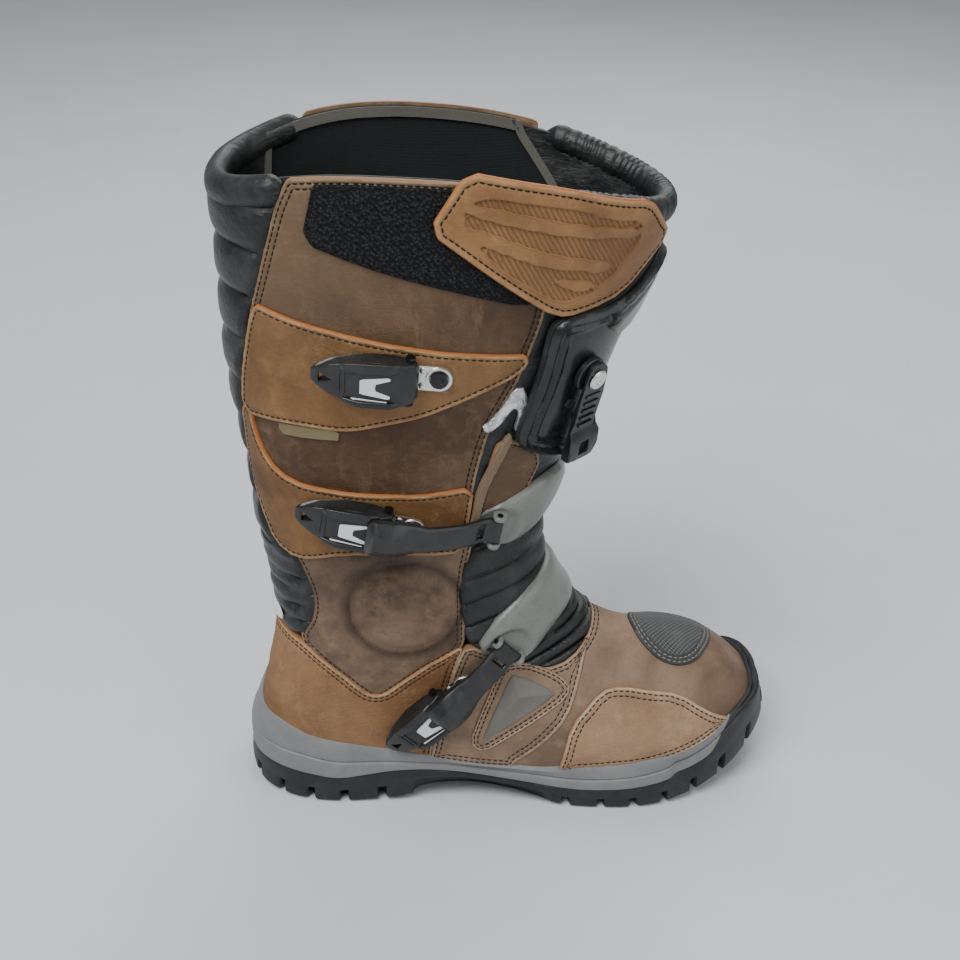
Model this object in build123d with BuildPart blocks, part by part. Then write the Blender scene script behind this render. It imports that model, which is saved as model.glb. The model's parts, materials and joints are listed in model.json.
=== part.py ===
from build123d import *
from functools import cache
import math
import os
import numpy as np

# Adventure riding boot, right foot: a leather shaft and foot on a lugged sole, with three toggle buckles, a
# moulded shin plate and a hook-and-loop flap. Millimetres, +X to the toe, +Y to the wearer's left, +Z up.
# The origin is on the ground under the centre of the heel, so -Y is the boot's outer side.

# ---- the boot's shape: a tube whose sections fan from the top opening, round the heel, to the toe ----
# Each row: front point x, z; back point x, z; half width; sideways centre; bulge (-1 back to +1 front);
# roundness of the front half and of the back half (2 is an ellipse, more is squarer).
SECTIONS = np.array([
    (196, 400, -35, 408, 66, 0, 0.00, 2.1, 2.4),
    (190, 362, -34, 374, 65, 0, 0.00, 2.1, 2.4),
    (171, 312, -33, 326, 61, 0, -0.02, 2.1, 2.4),
    (154, 264, -33, 275, 57, 0, -0.04, 2.1, 2.4),
    (140, 215, -28, 222, 53, 0, -0.05, 2.1, 2.4),
    (131, 178, -24, 170, 50, 0, -0.05, 2.1, 2.4),
    (132, 150, -20, 122, 48, 0, -0.05, 2.1, 2.5),
    (141, 129, -25, 84, 46, -1, -0.08, 2.1, 2.6),
    (153, 115, -34, 52, 44, -1, -0.12, 2.1, 2.8),
    (165, 105, -34, 30, 42, -2, -0.20, 2.1, 3.2),
    (177, 99, 8, 24, 40, -3, -0.30, 2.1, 4.0),
    (189, 95, 58, 24, 41, -4, -0.42, 2.1, 5.0),
    (201, 91, 108, 23, 46, -4, -0.50, 2.1, 5.5),
    (214, 87, 153, 22, 51, -2, -0.55, 2.1, 5.5),
    (229, 81, 190, 22, 52, -1, -0.55, 2.1, 5.5),
    (244, 73, 222, 24, 46, 1, -0.50, 2.2, 5.0),
    (257, 61, 246, 28, 35, 3, -0.40, 2.2, 4.0),
    (265, 50, 261, 33, 23, 4, -0.20, 2.2, 3.0),
])
HEEL_ROW = 9  # the shaft is lofted down to this row and the foot from it on
ANKLE_ROW = 5  # the lowest row of the shaft alone
ROW_STEP = 1.0  # sections per row spacing, so that the loft stays smooth
RING_POINTS = 20
TOE_ROW_SPACING = 11.0  # mm from the last row but one to the last, which moves the tip with the offset

# ---- layers, each from an inner to an outer distance off the boot's shape ----
INSIDE = -6.9  # what lies inside the lining
LINING = (-6.6, -4.6)
STIFFENER = (-4.4, -2.8)
LEATHER = (-2.6, 0.0)
PADDED = (-2.6, 2.4)
OVERLAY = (0.2, 2.0)
PATCH = (0.2, 1.5)
FLAP = (3.2, 5.4)
SHIN_PAD = (0.9, 4.6)
SHIN_PLATE = (4.8, 7.6)
SHIN_RIM = (4.8, 9.6)
BRACKET = (0.3, 3.4)
RIM_FOLD = (-6.8, 0.2)  # what the top binding folds over
BINDING = (-7.6, 1.2)
GAP = 0.3  # between pieces that meet edge to edge

# ---- side-view lines, as x and z; +x is to the toe ----
SIDE = Plane.XZ  # its normal points to -Y, the outer side
OUTER, INNER, BOTH = 1, -1, 0
REACH = 110.0  # more than the half width of anything
RIM = [(-70, 368), (-33, 377), (9, 388), (45, 390), (90, 387), (130, 380), (165, 370), (230, 350)]
CALF_EDGE = [(12, 410), (9, 389), (1, 375), (-7, 349), (-15, 322), (-19, 308), (-24, 280), (-26, 258),
             (-26, 225),
             (-22, 200), (-15, 175)]
FRONT_EDGE = [(86, 174), (92, 225), (99, 255), (113, 282), (124, 315), (127, 347), (130, 410)]
TONGUE_TOP = 347
ANKLE_REAR = [(-3, 172), (4, 152), (4, 135), (-6, 114)]
ANKLE_V = [(-6, 114), (16, 98), (36, 77), (61, 98), (87, 115)]
COLLAR = [(87, 115), (105, 103), (119, 92), (133, 87), (148, 90), (161, 101), (172, 125)]
HEEL_FRONT = [(87, 115), (81, 101), (66, 36), (62, 0)]
INSTEP_TOP = [(86, 174), (100, 184), (130, 197), (200, 226)]
SOLE_TOP = [(-60, 56), (-30, 56), (-18, 55), (0, 48), (36, 40), (60, 34), (100, 30), (150, 29), (190, 33),
            (225, 46), (247, 57), (262, 66), (300, 74)]
TREAD_TOP = [(-60, 24), (-30, 22), (-5, 20), (11, 17), (29, 20), (46, 23), (70, 23), (110, 17), (150, 12),
             (190, 14),
             (225, 22), (246, 33), (256, 47), (260, 64), (300, 64)]
GROUND = [(-60, 12), (-43, 12), (-38, 4), (-29, 0), (54, 0), (58, 11), (90, 14), (122, 8), (140, 1), (152, 0),
          (198, 0), (224, 5), (248, 13), (266, 25), (300, 46)]

BOARD_TOP = [(-60, 41), (0, 39), (20, 35.5), (60, 33.5), (110, 32.5), (190, 32), (222, 34), (240, 38),
             (300, 52)]
FOOTBED_THICK = 5.5

# ---- sole, seen from above ----
SOLE_PLAN = [(-42, 0), (-37, 24), (-22, 37), (5, 41), (50, 39), (90, 37), (130, 41), (165, 49), (200, 53),
             (232, 48), (256, 34), (270, 16), (273, 0), (264, -20), (247, -37), (222, -50), (192, -56.5),
             (158, -55.5),
             (122, -50), (85, -46), (40, -45.5), (5, -45), (-20, -38), (-37, -23)]
GROOVE_DEPTH = 4.5
GROOVE_WIDTH = 5.0
HEEL_GROOVES = (-12, 10, 32)  # along the boot
TOE_GROOVES = (146, 167, 188, 209, 230, 250)
SHANK_BOTTOM, SHANK_THICK = 19.0, 2.0

ANKLE_CENTRE, ANKLE_RADIUS = (54, 142), 33.0
MEDIAL_END = 26.0  # the shin plate ends this far past the middle, on the inner side

# ---- buckles, each in its own frame: x towards the strap's anchor, z out, origin under the pivot ----
PIVOTS = {"upper": (60, 291), "mid": (46, 203), "instep": (76, 76)}  # side-view places
ANCHORS = {"upper": (100, 288), "mid": (100, 193), "instep": (110, 108)}
SEATS = {"upper": 2.3, "mid": 2.3, "instep": 0.3}
PIVOT_HEIGHT = 5.0
ANCHOR_HEIGHT = 6.9  # above the leather
PIN_RADIUS = 1.5
RUNNING = 0.05  # radial clearance of a turning joint
PLATE_THICK, PLATE_BACK, PLATE_FRONT, PLATE_HALF = 1.5, -30.0, 14.0, 6.6
EAR_RADIUS, EAR_IN = 3.0, 5.1
SCREW_HEAD, SCREW_RADIUS, SCREW_DEPTH = 4.2, 2.4, 4.0  # the depth is below the leather's outer face
LEVER_HALF, CHANNEL_HALF, LEVER_NOSE = 12.0, 9.4, 4.4
LEVER_TOP, LEVER_CEILING = 11.6, 8.6
# height, back, front and half width of each flat a buckle sits on
SEAT_CUTS = ((-0.1, -30.5, 21.1, 7.1), (0.4, -48.0, 5.2, 12.5))
STRAP_HALF, HEAD_HALF = 7.5, 10.5
BARREL_RADIUS = 3.4
STRAP_POST = (143, 283)  # where the upper strap swivels on the shin plate
STRAP_LENGTH = 52.0
FLAP_FOLD = ((136, 320), (158, 375))  # the fold that the flap turns on


def row_at(t):
    """The section row at t, by a natural cubic spline through the rows, one row for each whole number."""
    n = len(SECTIONS)
    system = np.diag([2.0] + [4.0] * (n - 2) + [2.0]) + np.diag([1.0] * (n - 1), 1) + np.diag([1.0] * (n - 1), -1)
    ends = 3 * (SECTIONS[1] - SECTIONS[0]), 3 * (SECTIONS[-1] - SECTIONS[-2])
    slopes = np.linalg.solve(system, np.vstack([ends[0], 3 * (SECTIONS[2:] - SECTIONS[:-2]), ends[1]]))
    k = min(int(t), n - 2)
    f = t - k
    a, b, da, db = SECTIONS[k], SECTIONS[k + 1], slopes[k], slopes[k + 1]
    return a + f * da + f * f * (3 * (b - a) - 2 * da - db) + f**3 * (2 * (a - b) + da + db)


def ring(t, offset, count):
    """The section at t moved out by offset: its plane, and count points evenly spaced round it."""
    front_x, front_z, back_x, back_z, width, centre_y, bulge, n_front, n_back = row_at(t)
    half = math.hypot(front_x - back_x, front_z - back_z) / 2
    lean_x, lean_z = (front_x - back_x) / (2 * half), (front_z - back_z) / (2 * half)
    angle = np.linspace(0, 2 * math.pi, 721)
    c, s = np.cos(angle), np.sin(angle)
    power = 2 / np.where(c >= 0, n_front, n_back)
    x = half * np.where(c >= 0, 1 - bulge, 1 + bulge) * np.sign(c) * np.abs(c) ** power + bulge * half
    y = -width * np.sign(s) * np.abs(s) ** power
    tangent_x = np.roll(x[:-1], -1) - np.roll(x[:-1], 1)
    tangent_y = np.roll(y[:-1], -1) - np.roll(y[:-1], 1)
    length = np.hypot(tangent_x, tangent_y)
    x = x[:-1] - offset * tangent_y / length
    y = y[:-1] + offset * tangent_x / length
    x, y = np.append(x, x[0]), np.append(y, y[0])
    run = np.append(0, np.cumsum(np.hypot(np.diff(x), np.diff(y))))
    even = np.linspace(0, run[-1], count + 1)[:-1]
    plane = Plane(
        origin=((front_x + back_x) / 2, centre_y, (front_z + back_z) / 2),
        x_dir=(lean_x, 0, lean_z),
        z_dir=(-lean_z, 0, lean_x),
    )
    return plane, list(zip(np.interp(even, run, x), np.interp(even, run, y)))


@cache
def boot_body(offset, whole=True):
    """The boot's shape moved out by offset: the shaft's loft joined to the foot's, or the shaft's alone."""
    toe = len(SECTIONS) - 1 + min(offset, 2.5) / TOE_ROW_SPACING
    with BuildPart() as body:
        for first, last in ((0, HEEL_ROW), (HEEL_ROW, toe)) if whole else ((0, ANKLE_ROW),):
            sections = []
            for t in np.linspace(first, last, round((last - first) / ROW_STEP) + 1):
                plane, points = ring(t, offset, RING_POINTS)
                with BuildSketch(plane, mode=Mode.PRIVATE) as section:
                    with BuildLine():
                        Spline(*points, periodic=True)
                    make_face()
                sections.append(section.sketch)
            loft(sections)
    return body.part


@cache
def layer(inner, outer, whole=True):
    """The space between two distances off the boot's shape, or off its shaft alone."""
    with BuildPart() as shell:
        add(boot_body(outer, whole))
        add(boot_body(inner, whole), mode=Mode.SUBTRACT)
    return shell.part


def keep(points, sides=BOTH, mode=Mode.INTERSECT):
    """Keep what lies behind a side-view outline on the outer side, the inner side or both."""
    with BuildSketch(SIDE) as region:
        with BuildLine():
            Polyline(*points, close=True)
        make_face()
    if sides == BOTH:
        extrude(region.sketch, amount=REACH, both=True, mode=mode)
    else:
        extrude(region.sketch, amount=sides * REACH, mode=mode)


def moved(points, dx, dz):
    """The same side-view points moved by dx and dz."""
    return [(x + dx, z + dz) for x, z in points]


def trim_at_rim(drop):
    """Cut the top off along the rim's curve, drop below it."""
    with BuildSketch(SIDE) as region:
        with BuildLine():
            Spline(*moved(RIM, 0, -drop))
            Polyline((230, 350 - drop), (310, 350 - drop), (310, -20), (-70, -20), (-70, 368 - drop))
        make_face()
    extrude(region.sketch, amount=REACH, both=True, mode=Mode.INTERSECT)


def rim_strip(top, bottom):
    """Keep the strip between two drops below the rim's curve."""
    with BuildSketch(SIDE) as region:
        with BuildLine():
            Spline(*moved(RIM, 0, -top))
            Line(moved(RIM, 0, -top)[-1], moved(RIM, 0, -bottom)[-1])
            Spline(*moved(RIM, 0, -bottom))
            Line(moved(RIM, 0, -bottom)[0], moved(RIM, 0, -top)[0])
        make_face()
    extrude(region.sketch, amount=REACH, both=True, mode=Mode.INTERSECT)


def surface_at(x, z):
    """The outer side's point at side-view place x, z, and the direction away from the boot there."""
    best = None
    low, high, step = 0.0, len(SECTIONS) - 1.0, 0.25
    for _ in range(3):
        near = []
        for t in np.arange(low, high + step / 2, step):
            plane, points = ring(t, 0, 720)
            for k, (u, v) in enumerate(points[:360]):
                place = plane.from_local_coords((u, v, 0))
                near.append((math.hypot(place.X - x, place.Z - z), t, k, place))
        best = min(near, key=lambda item: item[0])
        low, high, step = max(0, best[1] - step), min(len(SECTIONS) - 1, best[1] + step), step / 5
    t, k = best[1], best[2]
    beside = []
    for t_step, k_step in ((0, -6), (0, 6), (-0.1, 0), (0.1, 0)):
        plane, points = ring(t + t_step, 0, 720)
        beside.append(plane.from_local_coords((*points[k + k_step], 0)))
    normal = (beside[1] - beside[0]).cross(beside[3] - beside[2]).normalized()
    if normal.Y > 0:
        normal = normal * -1
    return best[3], normal


@cache
def buckle_plane(name):
    """A buckle's own frame, tangent to the leather a little behind the lever's pivot."""
    (x, z), (ahead_x, ahead_z), seat = PIVOTS[name], ANCHORS[name], SEATS[name]
    heading = Vector(ahead_x - x, 0, ahead_z - z).normalized()
    place, _ = surface_at(x, z)
    _, out = surface_at(x - 14 * heading.X, z - 14 * heading.Z)
    forward = (heading - out * heading.dot(out)).normalized()
    return Plane(origin=place + out * seat, x_dir=forward, z_dir=out)


@cache
def anchor_place(name):
    """Where a strap's hinge bar crosses its buckle's profile, as x and height."""
    place, out = surface_at(*ANCHORS[name])
    local = buckle_plane(name).to_local_coords(place + out * ANCHOR_HEIGHT)
    return round(local.X, 1), round(local.Z, 1)


@cache
def strap_plane():
    """The upper strap's frame: on the shin plate, z out and x straight down the plate."""
    place, out = surface_at(*STRAP_POST)
    down = Vector(0, 0, -1)
    down = (down - out * down.dot(out)).normalized()
    return Plane(origin=place + out * SHIN_PLATE[1], x_dir=down, z_dir=out)


@cache
def flap_axis():
    """A point on the flap's fold line, and the line's direction, up the shaft."""
    low, low_out = surface_at(*FLAP_FOLD[0])
    high, high_out = surface_at(*FLAP_FOLD[1])
    low, high = low + low_out * FLAP[1], high + high_out * FLAP[1]
    return low, (high - low).normalized()


def screw_hole(name):
    """The hole for a buckle's screw, through the leather and what lies on it."""
    frame = buckle_plane(name)
    with BuildSketch(frame.offset(-SEATS[name] - SCREW_DEPTH - 0.4)) as hole:
        with Locations((PLATE_FRONT, 0)):
            Circle(SCREW_RADIUS + 0.2)
    extrude(hole.sketch, amount=12, mode=Mode.SUBTRACT)


def buckle_seat(name):
    """The flat that a buckle's plate and closed lever press into the leather under them."""
    frame = buckle_plane(name)
    for low, back, front, half in SEAT_CUTS:
        with BuildSketch(frame.offset(low)) as flat:
            with Locations(((back + front) / 2, 0)):
                Rectangle(front - back, 2 * half)
        extrude(flat.sketch, amount=20, mode=Mode.SUBTRACT)


def profile_plane(frame):
    """The plane through a buckle's middle: its x is the buckle's x and its y points straight out."""
    return Plane(origin=frame.origin, x_dir=frame.x_dir, z_dir=frame.y_dir * -1)


def slab(plane, points, half_width, inside=0.0, mode=Mode.ADD):
    """A profile of a buckle extruded from inside to half_width on both sides of its middle."""
    with BuildSketch(plane) as face:
        with BuildLine():
            Polyline(*points, close=True)
        make_face()
    if inside == 0.0:
        extrude(face.sketch, amount=half_width, both=True, mode=mode)
        return
    for side in (1, -1):
        start = face.sketch.moved(Location(plane.z_dir * (side * inside)))
        extrude(start, amount=side * (half_width - inside), mode=mode)


def round_bar(plane, x, z, radius, half_width, inside=0.0, mode=Mode.ADD):
    """A bar or hole across a buckle at x, z of its profile."""
    with BuildSketch(plane) as face:
        with Locations((x, z)):
            Circle(radius)
    if inside == 0.0:
        extrude(face.sketch, amount=half_width, both=True, mode=mode)
        return
    for side in (1, -1):
        start = face.sketch.moved(Location(plane.z_dir * (side * inside)))
        extrude(start, amount=side * (half_width - inside), mode=mode)


pieces = []


def finish(builder, name):
    """Label a finished piece and keep it for the export."""
    builder.part.label = name
    pieces.append(builder.part)


# ================= sole =================
def sole_block(top, bottom):
    """The sole's plan from above, cut to between two side-view lines."""
    with BuildSketch(Plane.XY) as plan:
        with BuildLine():
            Spline(*SOLE_PLAN, periodic=True)
        make_face()
    extrude(plan.sketch, amount=90)
    keep(top + bottom[::-1])
    add(boot_body(0.3), mode=Mode.SUBTRACT)


def shank_slot(bottom, height, clearance, mode):
    """The steel shank's outline under the arch, or the pocket that it lies in."""
    with BuildSketch(Plane.XY.offset(bottom)) as slot:
        with Locations((86, 0)):
            SlotOverall(96 + 2 * clearance, 26 + 2 * clearance)
    extrude(slot.sketch, amount=height, mode=mode)


with BuildPart() as midsole:
    sole_block(SOLE_TOP, moved(TREAD_TOP, 0, GAP))
    shank_slot(SHANK_BOTTOM - GAP, 40, GAP, Mode.SUBTRACT)
finish(midsole, "midsole")

with BuildPart() as shank:
    shank_slot(SHANK_BOTTOM, SHANK_THICK, 0, Mode.ADD)
finish(shank, "shank")

with BuildPart() as grooves:
    with BuildSketch(Plane.XY.offset(-1)):
        with Locations(*[(x, 0) for x in HEEL_GROOVES]):
            Rectangle(GROOVE_WIDTH, 2 * REACH, rotation=8)
        for side in (1, -1):
            with Locations(*[(x, side * 26) for x in TOE_GROOVES]):
                Rectangle(GROOVE_WIDTH, 44, rotation=side * 14)
        with Locations((195, 0)):
            Rectangle(110, GROOVE_WIDTH)
    extrude(amount=60)
    keep(moved(GROUND, 0, -3) + moved(GROUND, 0, GROOVE_DEPTH)[::-1])

with BuildPart() as outsole:
    sole_block(TREAD_TOP, GROUND)
    shank_slot(SHANK_BOTTOM - GAP, 40, GAP, Mode.SUBTRACT)
    add(grooves.part, mode=Mode.SUBTRACT)
finish(outsole, "outsole")

# ================= inside the foot =================
with BuildPart() as lining:
    add(layer(*LINING))
    trim_at_rim(2.2)
finish(lining, "lining")

with BuildPart() as insole_board:
    add(boot_body(INSIDE))
    keep(BOARD_TOP + [(300, 0), (-60, 0)])
finish(insole_board, "insole_board")

with BuildPart() as footbed:
    add(boot_body(INSIDE))
    keep(moved(BOARD_TOP, 0, FOOTBED_THICK) + moved(BOARD_TOP, 0, GAP)[::-1])
finish(footbed, "footbed")

with BuildPart() as heel_counter:
    add(layer(*STIFFENER))
    keep([(-60, 0), (-60, 98), (-8, 98), (18, 82), (46, 48), (46, 0)])
finish(heel_counter, "heel_counter")

with BuildPart() as toe_cap:
    add(layer(*STIFFENER))
    keep([(208, 0), (204, 60), (210, 120), (300, 120), (300, 0)])
finish(toe_cap, "toe_cap")

for sides, name in ((OUTER, "ankle_guard_outer"), (INNER, "ankle_guard_inner")):
    with BuildPart() as ankle_guard:
        add(layer(*STIFFENER))
        with BuildSketch(SIDE) as disc:
            with Locations(ANKLE_CENTRE):
                Circle(ANKLE_RADIUS)
        extrude(disc.sketch, amount=sides * REACH, mode=Mode.INTERSECT)
    finish(ankle_guard, name)

# ================= leather and padding, edge to edge round the boot =================
with BuildPart() as vamp:
    add(layer(*LEATHER))
    keep(moved(COLLAR, 0, -GAP) + [(310, 125), (310, 0)] + moved(HEEL_FRONT[:0:-1], GAP, 0))
    screw_hole("instep")
    buckle_seat("instep")
finish(vamp, "vamp")

with BuildPart() as heel_cover:
    add(layer(*LEATHER))
    keep([(-70, 114)] + moved(ANKLE_V, 0, -GAP) + HEEL_FRONT[1:] + [(-70, 0)])
    buckle_seat("instep")
finish(heel_cover, "heel_cover")

with BuildPart() as achilles_flex:
    add(layer(*PADDED))
    keep([(-70, 114), *ANKLE_REAR[::-1], (-15, 174), (-70, 174)])
finish(achilles_flex, "achilles_flex")

for sides, name in ((OUTER, "quarter_outer"), (INNER, "quarter_inner")):
    with BuildPart() as quarter:
        add(layer(*LEATHER))
        keep(moved(ANKLE_REAR, GAP, 0)[:-1] + moved(ANKLE_V, 0, GAP) + [(84, 153), (86, 172)], sides)
    finish(quarter, name)

with BuildPart() as instep_flex:
    add(layer(*LEATHER))
    keep(moved(COLLAR, GAP, GAP) + moved(INSTEP_TOP, 0, -GAP)[::-1] + [(84 + GAP, 153)])
finish(instep_flex, "instep_flex")

for sides, name in ((OUTER, "shaft_outer"), (INNER, "shaft_inner")):
    with BuildPart() as shaft:
        add(layer(*LEATHER))
        trim_at_rim(2.2)
        keep(moved(CALF_EDGE, GAP, GAP) + [(-3, 172 + GAP), (86, 174)] + moved(FRONT_EDGE, -GAP, GAP), sides)
        if sides == OUTER:
            screw_hole("upper")
            screw_hole("mid")
    finish(shaft, name)

with BuildPart() as calf_pad:
    add(layer(*PADDED))
    trim_at_rim(7)
    keep(CALF_EDGE + [(-70, 174 + GAP), (-70, 410)])
finish(calf_pad, "calf_pad")

with BuildPart() as tongue:
    add(layer(*LEATHER))
    keep(FRONT_EDGE[:6] + [(280, TONGUE_TOP), (280, 226)] + INSTEP_TOP[:0:-1])
finish(tongue, "tongue")

with BuildPart() as front_collar:
    add(layer(*PADDED))
    trim_at_rim(7)
    keep([(127, TONGUE_TOP + GAP), (130, 410), (280, 410), (280, TONGUE_TOP + GAP)])
finish(front_collar, "front_collar")

with BuildPart() as folded_edge:
    add(layer(*RIM_FOLD))
    rim_strip(1.9, 12)

with BuildPart() as top_binding:
    add(layer(*BINDING))
    rim_strip(0, 6.5)
    add(folded_edge.part, mode=Mode.SUBTRACT)
finish(top_binding, "top_binding")

# ================= overlays =================
ABOVE_SOLE = moved(SOLE_TOP, 0, GAP) + [(300, 420), (-70, 420)]

with BuildPart() as band_upper:
    add(layer(*OVERLAY))
    keep([(-17, 309), (-14.5, 321), (8, 316), (46, 308), (79, 302), (119, 297), (113, 287), (93, 278),
          (64, 266),
          (29, 258), (4, 259), (-24.8, 258), (-23.2, 280)], OUTER)
    screw_hole("upper")
    buckle_seat("upper")
finish(band_upper, "band_upper")

with BuildPart() as band_lower:
    add(layer(*OVERLAY))
    keep([(-24.8, 224), (-9, 222), (23, 221), (63, 219), (91, 222), (86, 179), (60, 181), (23, 181),
          (-3, 174),
          (-14, 178.5), (-20.8, 200)], OUTER)
    screw_hole("mid")
    buckle_seat("mid")
finish(band_lower, "band_lower")

with BuildPart() as heat_guard:
    add(layer(*OVERLAY))
    keep([(-17, 300), (60, 296), (116, 290), (98, 254), (91, 225), (83, 160), (84, 116), (61, 101), (36, 80),
          (16, 101), (-2, 116), (6, 136), (6, 152), (-1.5, 174.5), (-13, 178), (-21, 202), (-24.8, 226),
          (-24, 258)], INNER)
finish(heat_guard, "heat_guard")

with BuildPart() as ankle_patch:
    add(layer(*PATCH))
    with BuildSketch(SIDE) as disc:
        with Locations(ANKLE_CENTRE):
            Circle(ANKLE_RADIUS - 4)
    extrude(disc.sketch, amount=REACH, mode=Mode.INTERSECT)
    keep(moved(ANKLE_V, 0, 2) + [(84, 153), (84, 172), (0, 170)], OUTER)
finish(ankle_patch, "ankle_patch")

for sides, name in ((OUTER, "forefoot_cover_outer"), (INNER, "forefoot_cover_inner")):
    with BuildPart() as forefoot_cover:
        add(layer(*OVERLAY))
        keep([(136, 0), (148, 56), (166, 75), (178, 77), (212, 71), (244, 50), (258, 40), (310, 40),
              (310, 0)], sides)
        keep(ABOVE_SOLE)
    finish(forefoot_cover, name)

with BuildPart() as triangle_guard:
    add(layer(0.2, 4.2))
    keep([(95, 47), (98, 43), (140, 71), (141, 75), (116, 90), (111, 90)], OUTER)
finish(triangle_guard, "triangle_guard")

with BuildPart() as toe_pad:
    add(layer(*OVERLAY))
    with BuildSketch(Plane.XY.offset(60)) as plan:
        with BuildLine():
            Spline((184, 2), (191, -19), (207, -28), (224, -22), (236, -2), (240, 14), (232, 27),
                   (212, 30), (192, 22),
                   periodic=True)
        make_face()
    extrude(plan.sketch, amount=60, mode=Mode.INTERSECT)
finish(toe_pad, "toe_pad")

with BuildPart() as loop_patch:
    add(layer(*PATCH))
    keep([(24, 378), (15, 358), (29, 352), (65, 338), (116, 326), (122, 345), (125, 371), (98, 379),
          (60, 382)], OUTER)
finish(loop_patch, "loop_patch")

with BuildPart() as tongue_strip:
    add(layer(*OVERLAY))
    keep([(100, 240), (107.5, 243), (122.5, 232.5), (128, 223), (112, 219), (96, 219)], OUTER)
finish(tongue_strip, "tongue_strip")

with BuildPart() as heel_patch:
    add(layer(2.6, 3.4))
    keep([(-60, 136), (-13, 136), (-9, 120), (-60, 120)])
finish(heel_patch, "heel_patch")

with BuildPart() as side_label:
    add(layer(*PATCH))
    keep([(-8, 257), (24, 257), (24, 251), (-8, 251)], OUTER)
finish(side_label, "side_label")

# ================= shin plate =================
SHIN_OUTLINE = [(127, 317), (121, 283), (112, 256), (110, 246), (124, 235), (142, 225), (240, 232),
                (240, 346),
                (190, 345), (160, 320)]
SHIN_RECESS = [(133, 309), (127, 283), (119, 256), (127, 243), (143, 233), (250, 240), (250, 334), (190, 334),
               (160, 312)]

with BuildPart() as shin_pad:
    add(layer(*SHIN_PAD, whole=False))
    keep(SHIN_OUTLINE)
    with Locations((170, MEDIAL_END + REACH, 285)):
        Box(300, 2 * REACH, 300, mode=Mode.SUBTRACT)
finish(shin_pad, "shin_pad")

with BuildPart() as shin_recess:
    add(layer(SHIN_PLATE[1], SHIN_RIM[1] + 2, whole=False))
    keep(SHIN_RECESS)
    with Locations((170, MEDIAL_END - 8 + REACH, 285)):
        Box(300, 2 * REACH, 300, mode=Mode.SUBTRACT)

with BuildPart() as shin_plate:
    add(layer(*SHIN_RIM, whole=False))
    keep(SHIN_OUTLINE)
    add(shin_recess.part, mode=Mode.SUBTRACT)
    with Locations((170, MEDIAL_END + REACH, 285)):
        Box(300, 2 * REACH, 300, mode=Mode.SUBTRACT)
finish(shin_plate, "shin_plate")

# ================= flap =================
with BuildPart() as flap:
    add(layer(*FLAP, whole=False))
    keep([(70, 365), (85, 392), (128, 383), (157, 375), (134, 320), (127, 319)], OUTER)
finish(flap, "flap")

with BuildPart() as flap_root:
    add(layer(*FLAP, whole=False))
    keep([(159, 375), (170, 372), (176, 362), (182, 349), (160, 324), (138, 319.5)], OUTER)
finish(flap_root, "flap_root")

# ================= buckles =================
def base_plate(name):
    """A steel plate with a screw eye in front and two ears that carry the lever's pin."""
    frame = buckle_plane(name)
    profile = profile_plane(frame)
    with BuildSketch(frame) as outline:
        with Locations(((PLATE_BACK + PLATE_FRONT) / 2, 0)):
            Rectangle(PLATE_FRONT - PLATE_BACK, 2 * PLATE_HALF)
        with Locations((PLATE_FRONT, 0)):
            Circle(PLATE_HALF)
            Circle(SCREW_RADIUS + RUNNING, mode=Mode.SUBTRACT)
    extrude(outline.sketch, amount=PLATE_THICK)
    slab(profile, [(-EAR_RADIUS, 0), (-EAR_RADIUS, PIVOT_HEIGHT), (EAR_RADIUS, PIVOT_HEIGHT),
                   (EAR_RADIUS, 0)],
         PLATE_HALF, EAR_IN)
    round_bar(profile, 0, PIVOT_HEIGHT, EAR_RADIUS, PLATE_HALF, EAR_IN)
    round_bar(profile, 0, PIVOT_HEIGHT, PIN_RADIUS + RUNNING, LEVER_HALF, mode=Mode.SUBTRACT)


def screw(name):
    """A round-headed screw through the plate's eye."""
    frame = buckle_plane(name)
    tip = -SEATS[name] - SCREW_DEPTH
    for radius, low, high in ((SCREW_RADIUS, tip, PLATE_THICK + 1), (SCREW_HEAD, PLATE_THICK,
                                                                     PLATE_THICK + 2)):
        with BuildSketch(frame.offset(low)) as disc:
            with Locations((PLATE_FRONT, 0)):
                Circle(radius)
        extrude(disc.sketch, amount=high - low)


def lever_pin(name):
    """The pin across the lever, with a head at each end."""
    profile = profile_plane(buckle_plane(name))
    round_bar(profile, 0, PIVOT_HEIGHT, PIN_RADIUS, LEVER_HALF + 1.2)
    round_bar(profile, 0, PIVOT_HEIGHT, 2.4, LEVER_HALF + 1.2, LEVER_HALF + 0.2)


def lever(name):
    """A channel-shaped lever, open towards the boot, that turns on the pin and tapers to its thumb end."""
    profile = profile_plane(buckle_plane(name))
    slab(profile, [(0, PIVOT_HEIGHT), (-2, LEVER_TOP), (-30, LEVER_TOP), (-42, 9.0), (-47, 5.6), (-46.4, 3.8),
                   (-38, 1.6), (-10, 0.8), (0, 0.6)], LEVER_HALF)
    round_bar(profile, 0, PIVOT_HEIGHT, LEVER_NOSE, LEVER_HALF)
    slab(profile, [(10, -5), (10, 20), (-2, 20), (-2, LEVER_CEILING), (-36, LEVER_CEILING), (-40, 6),
                   (-41, -5)],
         CHANNEL_HALF, mode=Mode.SUBTRACT)
    round_bar(profile, 0, PIVOT_HEIGHT, PIN_RADIUS + RUNNING, LEVER_HALF + 1, mode=Mode.SUBTRACT)


def badge(name):
    """A plain plate on the lever's top."""
    profile = profile_plane(buckle_plane(name))
    slab(profile, [(-11, LEVER_TOP + 0.05), (-11, LEVER_TOP + 0.9), (-25, LEVER_TOP + 0.9),
                   (-25, LEVER_TOP + 0.05)], 5)


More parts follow.
